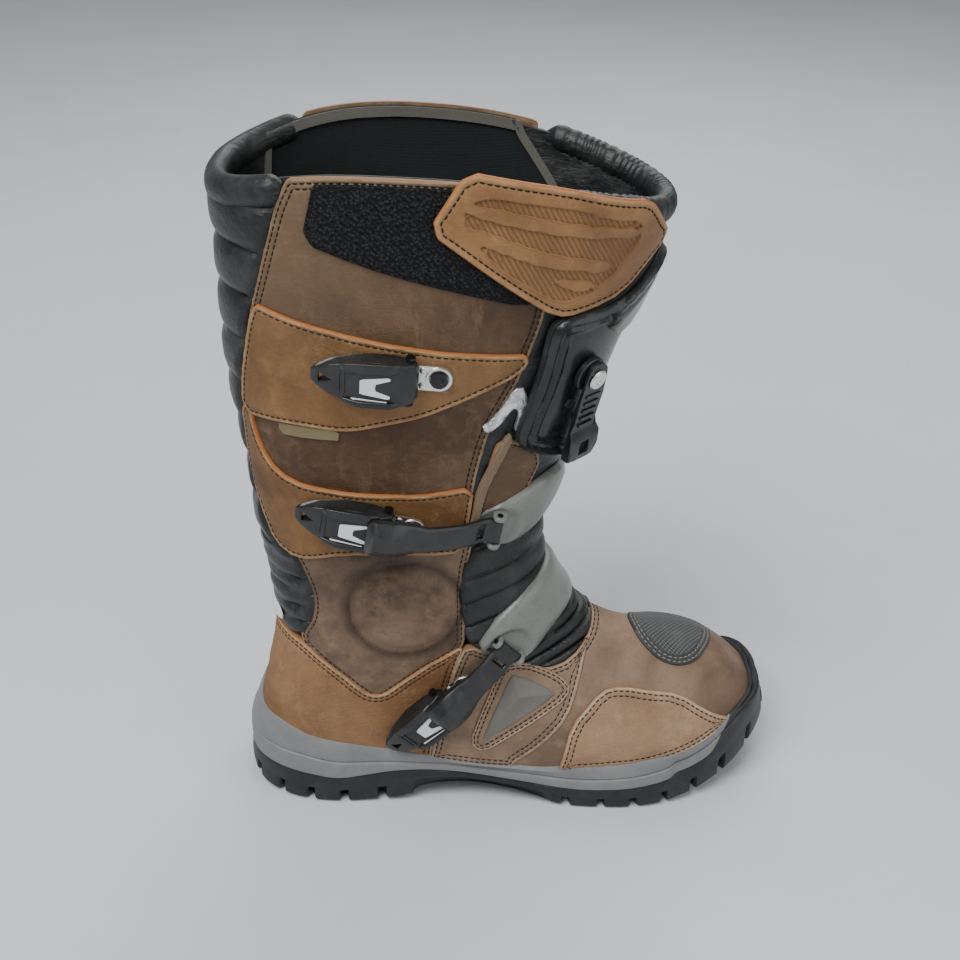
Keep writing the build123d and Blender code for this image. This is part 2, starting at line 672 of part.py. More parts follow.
def strap(name):
    """A plastic strap from its hinge bar up over the lever's nose, with a wide head."""
    profile = profile_plane(buckle_plane(name))
    x, z = anchor_place(name)
    low = LEVER_TOP + 0.6
    slab(profile, [(-8, low), (3, low), (13, 7.0), (x, z - 1.5), (x, z + 1.5), (17, 9.4), (9, 15.2),
                   (-6, 16.4),
                   (-8, 14)], STRAP_HALF)
    slab(profile, [(-8, low), (3, low), (13, 7.0), (16, 6.4), (17, 9.4), (9, 15.2), (-6, 16.4), (-8, 14)],
         HEAD_HALF)
    round_bar(profile, x, z, BARREL_RADIUS, STRAP_HALF)
    round_bar(profile, x, z, PIN_RADIUS + RUNNING, STRAP_HALF + 1, mode=Mode.SUBTRACT)


def strap_ears(name):
    """Room for the strap in its bracket, and two ears that rise beside it to hold the hinge bar."""
    profile = profile_plane(buckle_plane(name))
    x, z = anchor_place(name)
    room = STRAP_HALF + 0.3
    slab(profile, [(13, 6.4), (x, z - 2), (x, z + 20), (13, 30)], room, mode=Mode.SUBTRACT)
    round_bar(profile, x, z, BARREL_RADIUS + 0.3, room, mode=Mode.SUBTRACT)
    slab(profile, [(x - 3.6, z - 12), (x - 3.6, z), (x + 3.6, z), (x + 3.6, z - 12)], STRAP_HALF + 2.8, room)
    round_bar(profile, x, z, 3.6, STRAP_HALF + 2.8, room)
    round_bar(profile, x, z, PIN_RADIUS + RUNNING, STRAP_HALF + 4, mode=Mode.SUBTRACT)
    add(boot_body(BRACKET[0]), mode=Mode.SUBTRACT)


with BuildPart() as buckle_screws:
    for name in PIVOTS:
        screw(name)
finish(buckle_screws, "buckle_screws")

with BuildPart() as lever_pins:
    for name in PIVOTS:
        lever_pin(name)
finish(lever_pins, "lever_pins")

with BuildPart() as strap_pins:
    for name in ("mid", "instep"):
        round_bar(profile_plane(buckle_plane(name)), *anchor_place(name), PIN_RADIUS, STRAP_HALF + 3.4)
finish(strap_pins, "strap_pins")

for name in PIVOTS:
    with BuildPart() as plate:
        base_plate(name)
    finish(plate, f"{name}_base_plate")
    with BuildPart() as closing_lever:
        lever(name)
    finish(closing_lever, f"{name}_lever")
    with BuildPart() as lever_badge:
        badge(name)
    finish(lever_badge, f"{name}_badge")

for name in ("mid", "instep"):
    with BuildPart() as closing_strap:
        strap(name)
    finish(closing_strap, f"{name}_strap")

with BuildPart() as mid_bracket:
    add(layer(*BRACKET))
    keep([(90, 203), (92, 184), (108, 177), (126, 184), (141, 204), (137, 218), (120, 214), (104, 208)])
    with Locations((150, MEDIAL_END + REACH, 200)):
        Box(300, 2 * REACH, 300, mode=Mode.SUBTRACT)
    strap_ears("mid")
finish(mid_bracket, "mid_bracket")

with BuildPart() as instep_bracket:
    add(layer(*BRACKET))
    keep([(93, 118), (97, 104), (112, 93), (126, 101), (136, 114), (165, 126), (150, 152), (124, 144),
          (108, 134)])
    with Locations((150, MEDIAL_END + REACH, 130)):
        Box(300, 2 * REACH, 300, mode=Mode.SUBTRACT)
    strap_ears("instep")
finish(instep_bracket, "instep_bracket")

# the upper strap hangs from a swivel post on the shin plate
with BuildPart() as strap_mount:
    with BuildSketch(strap_plane().offset(0.2)):
        Circle(9.5)
        Circle(3.2, mode=Mode.SUBTRACT)
    extrude(amount=2.8)
finish(strap_mount, "upper_strap_mount")

with BuildPart() as strap_post:
    for radius, low, high in ((3.0, 0.2, 7.4), (5.5, 7.0, 8.6)):
        with BuildSketch(strap_plane().offset(low)):
            Circle(radius)
        extrude(amount=high - low)
finish(strap_post, "upper_strap_post")

with BuildPart() as upper_strap:
    with BuildSketch(strap_plane().offset(3.4)):
        Circle(8.4)
        with Locations((STRAP_LENGTH / 2, 0)):
            Rectangle(STRAP_LENGTH, 2 * STRAP_HALF)
    extrude(amount=3.2)
    with BuildSketch(strap_plane().offset(3.4)):
        with Locations((STRAP_LENGTH - 9, 0)):
            Rectangle(18, 2 * HEAD_HALF)
    extrude(amount=6.0)
    with BuildSketch(strap_plane().offset(3.0)):
        Circle(3.0 + RUNNING)
    extrude(amount=8, mode=Mode.SUBTRACT)
finish(upper_strap, "upper_strap")

os.makedirs("parts", exist_ok=True)
for piece in pieces:
    export_step(piece, f"parts/{piece.label}.step")
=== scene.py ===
# Looks for the adventure riding boot: leather, suede, padding, rubber and buckles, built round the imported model.
# The boot's soft pieces are patches cut from one shape, whose sections fan from the top opening to the toe.
# Places and sizes are in millimetres in the row frame, and to_object turns them into metres.
import json
import math

import bpy
import numpy as np
from mathutils import Matrix, Vector, noise

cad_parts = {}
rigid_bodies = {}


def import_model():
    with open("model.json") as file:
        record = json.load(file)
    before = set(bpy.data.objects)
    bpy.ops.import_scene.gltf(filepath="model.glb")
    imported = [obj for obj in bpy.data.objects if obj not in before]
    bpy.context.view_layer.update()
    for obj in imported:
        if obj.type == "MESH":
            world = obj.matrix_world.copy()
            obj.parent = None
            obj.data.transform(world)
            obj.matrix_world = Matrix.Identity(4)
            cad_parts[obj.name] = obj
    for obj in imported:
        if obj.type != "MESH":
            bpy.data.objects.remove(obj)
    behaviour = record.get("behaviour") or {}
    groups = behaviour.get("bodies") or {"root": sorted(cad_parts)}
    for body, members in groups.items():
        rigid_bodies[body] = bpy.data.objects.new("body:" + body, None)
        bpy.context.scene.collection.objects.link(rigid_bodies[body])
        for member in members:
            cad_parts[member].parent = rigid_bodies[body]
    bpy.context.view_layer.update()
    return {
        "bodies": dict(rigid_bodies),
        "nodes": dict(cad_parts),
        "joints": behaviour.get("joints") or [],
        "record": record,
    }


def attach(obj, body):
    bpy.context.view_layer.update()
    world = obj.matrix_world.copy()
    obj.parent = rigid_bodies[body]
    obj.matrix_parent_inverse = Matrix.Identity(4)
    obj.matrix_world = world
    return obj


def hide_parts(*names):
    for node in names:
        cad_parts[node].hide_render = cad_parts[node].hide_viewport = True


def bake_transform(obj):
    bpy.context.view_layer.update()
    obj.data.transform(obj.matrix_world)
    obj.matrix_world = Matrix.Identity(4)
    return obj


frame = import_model()
MM = 0.001

# ---------------------------------------------------------------- camera and light
CAMERA_PLACE = (66.7, -617.3, 568.3)
CAMERA_PITCH, CAMERA_YAW, CAMERA_ROLL = 31.11, 2.76, 0.49  # degrees down, towards +x, and about the view
CAMERA_LENS, SENSOR = 48.67, 36.0
LAMPS = {"key": ((-0.6, -0.8, 1.8), (0.1, 0, 0.15), 1.1, 40),  # place and target in metres, size, power
         "fill": ((1.3, -0.9, 0.9), (0.1, 0, 0.2), 1.4, 9),
         "back": ((0.4, 1.2, 1.5), (0.1, 0, 0.2), 1.4, 18)}
SKY, SKY_STRENGTH = (0.86, 0.88, 0.92, 1), 0.40


def make_camera():
    pitch, yaw, roll = (math.radians(a) for a in (CAMERA_PITCH, CAMERA_YAW, CAMERA_ROLL))
    ahead = Vector((math.sin(yaw) * math.cos(pitch), math.cos(yaw) * math.cos(pitch), -math.sin(pitch)))
    level = Vector((math.cos(yaw), -math.sin(yaw), 0))
    rise = level.cross(ahead)
    right = level * math.cos(roll) + rise * math.sin(roll)
    up = rise * math.cos(roll) - level * math.sin(roll)
    data = bpy.data.cameras.new("camera")
    data.lens, data.sensor_width, data.clip_end = CAMERA_LENS, SENSOR, 20
    camera = bpy.data.objects.new("camera", data)
    turn = Matrix((right, up, -ahead)).transposed().to_4x4()
    camera.matrix_world = Matrix.Translation(Vector(CAMERA_PLACE) * MM) @ turn
    bpy.context.scene.collection.objects.link(camera)
    bpy.context.scene.camera = camera


def make_studio():
    for name, (place, target, size, power) in LAMPS.items():
        data = bpy.data.lights.new(name, "AREA")
        data.size, data.energy = size, power
        lamp = bpy.data.objects.new(name, data)
        lamp.location = place
        lamp.rotation_euler = (Vector(target) - Vector(place)).to_track_quat("-Z", "Y").to_euler()
        bpy.context.scene.collection.objects.link(lamp)
    world = bpy.data.worlds.new("world")
    world.use_nodes = True
    sky = world.node_tree.nodes["Background"].inputs
    sky["Color"].default_value, sky["Strength"].default_value = SKY, SKY_STRENGTH
    bpy.context.scene.world = world


# ---------------------------------------------------------------- the boot's shape
# Each row: front point x, z; back point x, z; half width; sideways centre; bulge (-1 back to +1 front);
# roundness of the front half and of the back half. The last row closes the toe.
SECTIONS = np.array([
    (196, 400, -35, 408, 66, 0, 0.00, 2.1, 2.4),
    (190, 362, -34, 374, 65, 0, 0.00, 2.1, 2.4),
    (171, 312, -33, 326, 61, 0, -0.02, 2.1, 2.4),
    (154, 264, -33, 275, 57, 0, -0.04, 2.1, 2.4),
    (140, 215, -28, 222, 53, 0, -0.05, 2.1, 2.4),
    (131, 178, -24, 170, 50, 0, -0.05, 2.1, 2.4),
    (132, 150, -20, 122, 48, 0, -0.05, 2.1, 2.5),
    (141, 129, -25, 84, 46, -1, -0.08, 2.1, 2.6),
    (153, 115, -34, 52, 44, -1, -0.12, 2.1, 2.8),
    (165, 105, -34, 30, 42, -2, -0.20, 2.1, 3.2),
    (177, 99, 8, 24, 40, -3, -0.30, 2.1, 4.0),
    (189, 95, 58, 24, 41, -4, -0.42, 2.1, 5.0),
    (201, 91, 108, 23, 46, -4, -0.50, 2.1, 5.5),
    (214, 87, 153, 22, 51, -2, -0.55, 2.1, 5.5),
    (229, 81, 190, 22, 52, -1, -0.55, 2.1, 5.5),
    (244, 73, 222, 24, 46, 1, -0.50, 2.2, 5.0),
    (257, 61, 246, 28, 35, 3, -0.40, 2.2, 4.0),
    (265, 50, 261, 33, 23, 4, -0.20, 2.2, 3.0),
    (268, 42, 266, 38, 6, 4, 0.00, 2.2, 2.4),
])
ROW_STEP, COLUMNS = 0.06, 280


def unit(v):
    return v / np.linalg.norm(v)


def rows_at(t):
    """Section rows at each t, by a natural cubic spline through SECTIONS."""
    n = len(SECTIONS)
    system = np.diag([2.0] + [4.0] * (n - 2) + [2.0]) + np.diag([1.0] * (n - 1), 1) + np.diag([1.0] * (n - 1), -1)
    ends = 3 * (SECTIONS[1] - SECTIONS[0]), 3 * (SECTIONS[-1] - SECTIONS[-2])
    slopes = np.linalg.solve(system, np.vstack([ends[0], 3 * (SECTIONS[2:] - SECTIONS[:-2]), ends[1]]))
    k = np.minimum(t.astype(int), n - 2)
    f = (t - k)[:, None]
    a, b, da, db = SECTIONS[k], SECTIONS[k + 1], slopes[k], slopes[k + 1]
    return a + f * da + f * f * (3 * (b - a) - 2 * da - db) + f**3 * (2 * (a - b) + da + db)


class Grid:
    """Points over a surface that closes round its columns, its outward normals, and distances measured on it."""

    def __init__(self, places, normals=None):
        self.places, self.normals = places, normals
        self.along_rows, self.along_columns = self.slope(places, 0), self.slope(places, 1)
        rows, columns = places.shape[:2]
        index = np.arange(rows * columns).reshape(rows, columns)
        index = np.hstack([index, index[:, :1]])
        self.quads = np.stack([index[:-1, :-1], index[:-1, 1:], index[1:, 1:], index[1:, :-1]], -1).reshape(-1, 4)

    def slope(self, values, axis):
        if axis == 0:
            return np.gradient(values, axis=0)
        return (np.roll(values, -1, 1) - np.roll(values, 1, 1)) / 2

    def true_distance(self, values):
        """Turn a distance seen from the side into one along the surface."""
        a, b = self.along_rows, self.along_columns
        e, f, g = (a * a).sum(-1), (a * b).sum(-1), (b * b).sum(-1)
        da, db = self.slope(values, 0), self.slope(values, 1)
        steep = (e * db**2 - 2 * f * da * db + g * da**2) / np.maximum(e * g - f * f, 1e-6)
        return values / np.clip(np.sqrt(np.maximum(steep, 0)), 0.25, 1.0)


def wrinkle(place):
    """How far leather stands off its shape at a place: shallow dents all over, deeper at the ankle."""
    broad = noise.noise(Vector(place) / 34) * 0.9
    ankle = math.exp(-((place[2] - 150) / 60) ** 2)
    fine = noise.noise(Vector((place[0] / 17, place[1] / 17, place[2] / 8))) * (0.25 + 0.7 * ankle)
    return broad + fine


def ring(t, count):
    """Evenly spaced points round the section at t, from the front, outer side first, with their share of the way."""
    front_x, front_z, back_x, back_z, width, centre_y, bulge, n_front, n_back = rows_at(np.array([t]))[0]
    half = max(math.hypot(front_x - back_x, front_z - back_z) / 2, 1.0)
    angle = np.linspace(0, 2 * math.pi, 721)
    c, s = np.cos(angle), np.sin(angle)
    power = 2 / np.where(c >= 0, n_front, n_back)
    x = half * np.where(c >= 0, 1 - bulge, 1 + bulge) * np.sign(c) * np.abs(c) ** power + bulge * half
    y = -max(width, 1.0) * np.sign(s) * np.abs(s) ** power
    run = np.append(0, np.cumsum(np.hypot(np.diff(x), np.diff(y))))
    even = np.linspace(0, run[-1], count + 1)[:-1]
    x, y = np.interp(even, run, x), np.interp(even, run, y)
    lean_x, lean_z = (front_x - back_x) / (2 * half), (front_z - back_z) / (2 * half)
    middle_x, middle_z = (front_x + back_x) / 2, (front_z + back_z) / 2
    return np.stack([middle_x + x * lean_x, y + centre_y, middle_z + x * lean_z], -1), even / run[-1]


def boot_grid(wrinkled=True):
    t = np.arange(0, len(SECTIONS) - 1 + 1e-9, ROW_STEP)
    rings = [ring(row, COLUMNS) for row in t]
    places = np.array([r[0] for r in rings])
    plain = Grid(places)
    normals = np.cross(plain.along_rows, plain.along_columns)
    normals /= np.maximum(np.linalg.norm(normals, axis=-1, keepdims=True), 1e-9)
    normals *= np.sign((normals * (places - places.mean(1, keepdims=True))).sum(-1, keepdims=True))
    if wrinkled:
        lift = np.array([wrinkle(p) for p in places.reshape(-1, 3)]).reshape(places.shape[:2])
        places = places + normals * lift[..., None]
    grid = Grid(places, normals)
    grid.row = np.repeat(t[:, None], COLUMNS, 1)
    grid.round = np.array([r[1] for r in rings])
    return grid


def surface_at(x, z):
    """The outer side's point at side-view place x, z, and the direction that points away from the boot there."""
    low, high, step = 0.0, len(SECTIONS) - 2.0, 0.25
    for _ in range(3):
        steps = np.arange(low, high + step / 2, step)
        sides = np.array([ring(t, 720)[0][:360] for t in steps])
        far = np.hypot(sides[..., 0] - x, sides[..., 2] - z)
        i, k = np.unravel_index(far.argmin(), far.shape)
        place, t = sides[i, k], steps[i]
        low, high, step = max(0, t - step), min(len(SECTIONS) - 2, t + step), step / 5
    around = ring(t, 720)[0][k + 6] - ring(t, 720)[0][k - 6]
    along = ring(t + 0.1, 720)[0][k] - ring(t - 0.1, 720)[0][k]
    out = unit(np.cross(around, along))
    return place, out * (-1 if out[1] > 0 else 1)


boot, form = boot_grid(), boot_grid(wrinkled=False)  # what is leather, and what is moulded
x_map, y_map, z_map = (boot.places[..., k] for k in range(3))


# ---------------------------------------------------------------- outlines as distance fields
CORNER = 5.0  # the most that a corner is cut back along its sides


def softened(points, times, closed=True):
    """Cut the corners of an outline, a few times."""
    for turn in range(times):
        after = [] if closed else [points[0]]
        for (ax, ay), (bx, by) in zip(points, points[1:] + points[:1] * closed):
            share = min(0.25, CORNER / 2**turn / max(math.hypot(bx - ax, by - ay), 1e-6)) if closed else 0.25
            dx, dy = (bx - ax) * share, (by - ay) * share
            after += [(ax + dx, ay + dy), (bx - dx, by - dy)]
        points = after if closed else after + [points[-1]]
    return points


def to_outline(x, y, points):
    """Signed distance to a closed outline, positive inside."""
    nearest, inside = np.full(x.shape, 1e9), np.zeros(x.shape, bool)
    for (ax, ay), (bx, by) in zip(points, points[1:] + points[:1]):
        ex, ey = bx - ax, by - ay
        t = np.clip(((x - ax) * ex + (y - ay) * ey) / max(ex * ex + ey * ey, 1e-9), 0, 1)
        nearest = np.minimum(nearest, np.hypot(x - ax - t * ex, y - ay - t * ey))
        if ay != by:
            inside ^= ((ay > y) != (by > y)) & (x < ex * (y - ay) / (by - ay) + ax)
    return np.where(inside, nearest, -nearest)


OUTER, INNER, BOTH = 1, -1, 0
SIDES = ((OUTER, "outer"), (INNER, "inner"))


def side_field(*outlines, sides=BOTH, soft=2, grid=boot):
    """Distance inside side-view outlines, on the outer side, the inner side or both."""
    x, z = grid.places[..., 0], grid.places[..., 2]
    field = np.min([to_outline(x, z, softened(points, soft)) for points in outlines], 0)
    if sides != BOTH:
        field = np.minimum(field, -sides * grid.places[..., 1])
    return grid.true_distance(field)


def outer(*outlines, soft=1, grid=boot):
    """Distance inside outlines on the outer side only, as most small pieces need."""
    return side_field(*outlines, sides=OUTER, soft=soft, grid=grid)


# ---------------------------------------------------------------- patches
class Patch:
    """Part of a grid, cut to fields, whose values follow every cut."""

    def __init__(self, grid, fields):
        self.fields = dict(fields, row=grid.row.ravel(), round=grid.round.ravel())
        keep = np.max(np.ravel(fields["edge"])[grid.quads], 1) > 0
        quads = grid.quads[keep]
        used, inverse = np.unique(quads, return_inverse=True)
        self.places = grid.places.reshape(-1, 3)[used]
        self.normals = grid.normals.reshape(-1, 3)[used]
        self.fields = {k: np.ravel(v)[used] for k, v in self.fields.items()}
        self.faces = [tuple(q) for q in inverse.reshape(-1, 4).tolist()]
        self.cut("edge", 0.0, drop=True)

    def cut(self, key, level, drop=False):
        """Split the faces along one level of a field, and drop what is below it or keep both."""
        value = self.fields[key] - level
        value[np.abs(value) < 0.02] = 0
        sign = np.sign(value).tolist()
        made, faces = {}, []  # made: the new point on each edge that is split
        count = len(value)
        for face in self.faces:
            signs = [sign[i] for i in face]
            if min(signs) >= 0:
                faces.append(face)
                continue
            if max(signs) <= 0:
                if not drop:
                    faces.append(face)
                continue
            above, below = [], []
            for a, b in zip(face, face[1:] + face[:1]):
                if sign[a] >= 0:
                    above.append(a)
                if sign[a] <= 0:
                    below.append(a)
                if sign[a] * sign[b] < 0:
                    new = made.setdefault((min(a, b), max(a, b)), count + len(made))
                    above.append(new)
                    below.append(new)
            faces += [tuple(part) for part in ([above] if drop else [above, below]) if len(part) > 2]
        self.fields[key] = value + level
        if made:
            a, b = np.array(list(made)).T
            share = value[a] / (value[a] - value[b])

            def mix(v):
                s = share.reshape(-1, *[1] * (v.ndim - 1))
                return np.concatenate([v, v[a] * (1 - s) + v[b] * s])

            self.places, self.normals = mix(self.places), mix(self.normals)
            self.fields = {k: mix(v) for k, v in self.fields.items()}
            self.fields[key][count:] = level
        self.faces = faces

    def lines_at(self, key, level):
        """Chains of points along one level of a field, after a cut there."""
        on = np.abs(self.fields[key] - level) < 1e-4
        links = {}
        for face in self.faces:
            for a, b in zip(face, face[1:] + face[:1]):
                if on[a] and on[b]:
                    links.setdefault(a, set()).add(b)
                    links.setdefault(b, set()).add(a)
        chains = []
        while links:
            start = next((k for k in sorted(links) if len(links[k]) == 1), min(links))
            chain, here = [start], start
            while links.get(here):
                there = min(links[here])
                links[here].discard(there)
                links[there].discard(here)
                chain.append(there)
                here = there
            links = {k: v for k, v in links.items() if v}
            if len(chain) > 2:
                chains.append(chain)
        return chains


def smoothstep(x):
    x = np.clip(x, 0, 1)
    return x * x * (3 - 2 * x)


def to_object(name, points, faces, material, attributes=None, sharp=35):
    mesh = bpy.data.meshes.new(name)
    mesh.from_pydata((np.asarray(points) * MM).tolist(), [], faces)
    mesh.validate()
    for key, values in (attributes or {}).items():
        if len(values) == len(mesh.vertices):
            mesh.attributes.new(key, "FLOAT", "POINT").data.foreach_set("value", np.asarray(values, np.float32))
    mesh.shade_smooth()
    mesh.set_sharp_from_angle(angle=math.radians(sharp))
    mesh.materials.append(material)
    obj = bpy.data.objects.new(name, mesh)
    bpy.context.scene.collection.objects.link(obj)
    return obj


def tube(rings, count, first=0):
    """Faces of a closed tube whose points run round it, ring after ring."""
    last = first + (rings - 1) * count
    return [(n + k, n + (k + 1) % count, n + count + (k + 1) % count, n + count + k)
            for n in range(first, last, count) for k in range(count)] + [
                tuple(range(first + count - 1, first - 1, -1)), tuple(range(last, last + count))]


STITCH_PITCH, STITCH_LENGTH, STITCH_RADIUS, STITCH_SIDES = 3.4, 2.6, 0.42, 6
STITCH_RINGS = ((-0.5, 0.45, -0.13), (-0.28, 1, 0.12), (0.28, 1, 0.12), (0.5, 0.45, -0.13))  # along, size, height
threads = {}


def sew(lines, kind):
    """Lay stitches along chains of (place, normal) and keep them for one mesh per kind of thread."""
    points, faces = threads.setdefault(kind, ([], []))
    circle = [(math.cos(a), math.sin(a)) for a in np.linspace(0, 2 * math.pi, STITCH_SIDES + 1)[:-1]]
    for places, normals in lines:
        run = np.append(0, np.cumsum(np.linalg.norm(np.diff(places, axis=0), axis=1)))
        for at in np.arange(STITCH_PITCH / 2, run[-1], STITCH_PITCH):
            ends = [np.array([np.interp(at + d, run, places[:, k]) for k in range(3)]) for d in (-1, 0, 1)]
            along = ends[2] - ends[0]
            if np.linalg.norm(along) < 0.5:
                continue
            along /= np.linalg.norm(along)
            up = np.array([np.interp(at, run, normals[:, k]) for k in range(3)])
            across = np.cross(up, along)
            across /= max(np.linalg.norm(across), 1e-6)
            faces += tube(len(STITCH_RINGS), STITCH_SIDES, len(points))
            for step, size, high in STITCH_RINGS:
                centre = ends[1] + along * step * STITCH_LENGTH + up * high
                points.extend(centre + STITCH_RADIUS * size * (across * c + up * s) for c, s in circle)


def carry(obj, body, replaces=()):
    """The piece moves with its body; a piece on a fold is not parented and keeps its baked place."""
    if isinstance(body, str):
        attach(obj, body)
    else:
        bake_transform(obj)
    if replaces:
        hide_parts(*replaces)


SEAM_HALF, SEAM_DEPTH = 0.8, 0.45


def panel(name, edge, low, height, material, replaces=(), seams=(), thread="brown", edge_radius=0.9, cuts=(),
          extra=None, sharp=38, painted=(), body="boot", grid=boot):
    """A closed patch of the boot's surface. low and height are distances off it; seams lists how far in from the
    edge each row of stitching runs; painted names the extra fields that the material reads."""
    patch = Patch(grid, {"edge": edge, **(extra or {})})
    patch.cut("edge", edge_radius)
    for level in [seam + d for seam in seams for d in (-SEAM_HALF, 0, SEAM_HALF)]:
        patch.cut("edge", level)
    for key, level in cuts:
        patch.cut(key, level)
    d = patch.fields["edge"]
    thick = (height(patch) if callable(height) else np.full(len(d), float(height))) - low
    top = low + thick * (0.62 + 0.38 * np.sqrt(1 - (1 - np.clip(d / edge_radius, 0, 1)) ** 2))
    for seam in seams:
        top -= SEAM_DEPTH * (1 - smoothstep(np.abs(d - seam) / SEAM_HALF))
    n = len(d)
    upper, under = patch.places + patch.normals * top[:, None], patch.places + patch.normals * low
    faces = patch.faces + [tuple(i + n for i in face[::-1]) for face in patch.faces]
    sides = {side: True for face in patch.faces for side in zip(face, face[1:] + face[:1])}
    faces += [(b, a, a + n, b + n) for a, b in sides if (b, a) not in sides]
    used = np.unique(np.concatenate([np.array(f) for f in faces]))
    remap = np.full(2 * n, -1)
    remap[used] = np.arange(len(used))
    marks = {key: np.concatenate([patch.fields[key], np.full(n, -9.0)])[used] for key in painted}
    marks["edge"] = np.concatenate([d, d])[used]
    shape_faces = [tuple(remap[list(f)].tolist()) for f in faces]
    obj = to_object(name, np.vstack([upper, under])[used], shape_faces, material, marks, sharp)
    for seam in seams:
        sew([(upper[c], patch.normals[c]) for c in patch.lines_at("edge", seam)], (thread, body))
    carry(obj, body, replaces)


# ---------------------------------------------------------------- materials
class Look:
    """A material's nodes, laid out one by one round a Principled shader."""

    def __init__(self, name, roughness=0.5, metallic=0.0, specular=0.5):
        self.material = bpy.data.materials.new(name)
        self.material.use_nodes = True
        self.tree = self.material.node_tree
        self.shader = self.tree.nodes["Principled BSDF"].inputs
        for key, value in (("Roughness", roughness), ("Metallic", metallic), ("Specular IOR Level", specular)):
            self.shader[key].default_value = value
        self.place = self.tree.nodes.new("ShaderNodeTexCoord").outputs["Object"]

    def node(self, kind, settings=(), **inputs):
        """A new node. Inputs go by name, or by number after an underscore, and a colour may leave out its alpha."""
        made = self.tree.nodes.new("ShaderNode" + kind)
        for key, value in dict(settings).items():
            setattr(made, key, value)
        for key, value in inputs.items():
            socket = made.inputs[int(key[1:])] if key[0] == "_" else made.inputs[key]
            if isinstance(value, bpy.types.NodeSocket):
                self.tree.links.new(value, socket)
            else:
                socket.default_value = (*value, 1) if socket.type == "RGBA" else value
        return made

    def mapped(self, vector=None, **change):
        return self.node("Mapping", Vector=vector or self.place, **change).outputs[0]

    def noise(self, scale, detail=4, roughness=0.55, distortion=0.0, vector=None):
        return self.node("TexNoise", Vector=vector or self.place, Scale=scale, Detail=detail, Roughness=roughness,
                         Distortion=distortion).outputs["Fac"]

    def cells(self, scale, feature="F1", vector=None):
        made = self.node("TexVoronoi", {"feature": feature}, Vector=vector or self.place, Scale=scale)
        return made.outputs["Distance"]

    def waves(self, scale, direction="X", vector=None, distortion=0.0):
        return self.node("TexWave", {"bands_direction": direction, "wave_profile": "SIN"},
                         Vector=vector or self.place, Scale=scale, Distortion=distortion).outputs["Fac"]

    def painted(self, key):
        return self.node("Attribute", {"attribute_name": key}).outputs["Fac"]

    def sums(self, operation, a, b=0.0):
        return self.node("Math", {"operation": operation}, _0=a, _1=b).outputs[0]

    def times(self, a, b):
        return self.sums("MULTIPLY", a, b)

    def between(self, value, low, high):
        return self.node("MapRange", Value=value, _1=low, _2=high).outputs[0]

    def ranged(self, value, low, high):
        return self.node("MapRange", Value=value, _3=low, _4=high).outputs[0]

    def mix(self, share, a, b):
        return self.node("Mix", {"data_type": "RGBA"}, _0=share, _6=a, _7=b).outputs[2]

    def over(self, color, other, share, strength):
        return self.mix(self.times(share, strength), color, other)

    def bump(self, height, distance, strength=1.0, **onto):
        return self.node("Bump", Height=height, Distance=distance, Strength=strength, **onto).outputs[0]

    def dust(self, share):
        return self.times(self.between(self.noise(38, 9, 0.75, 0.4), 0.45, 0.8), share)

    def finish(self, color, roughness=None, normal=None):
        for key, value in (("Base Color", color), ("Roughness", roughness), ("Normal", normal)):
            if value is not None:
                self.tree.links.new(value, self.shader[key])
        return self.material


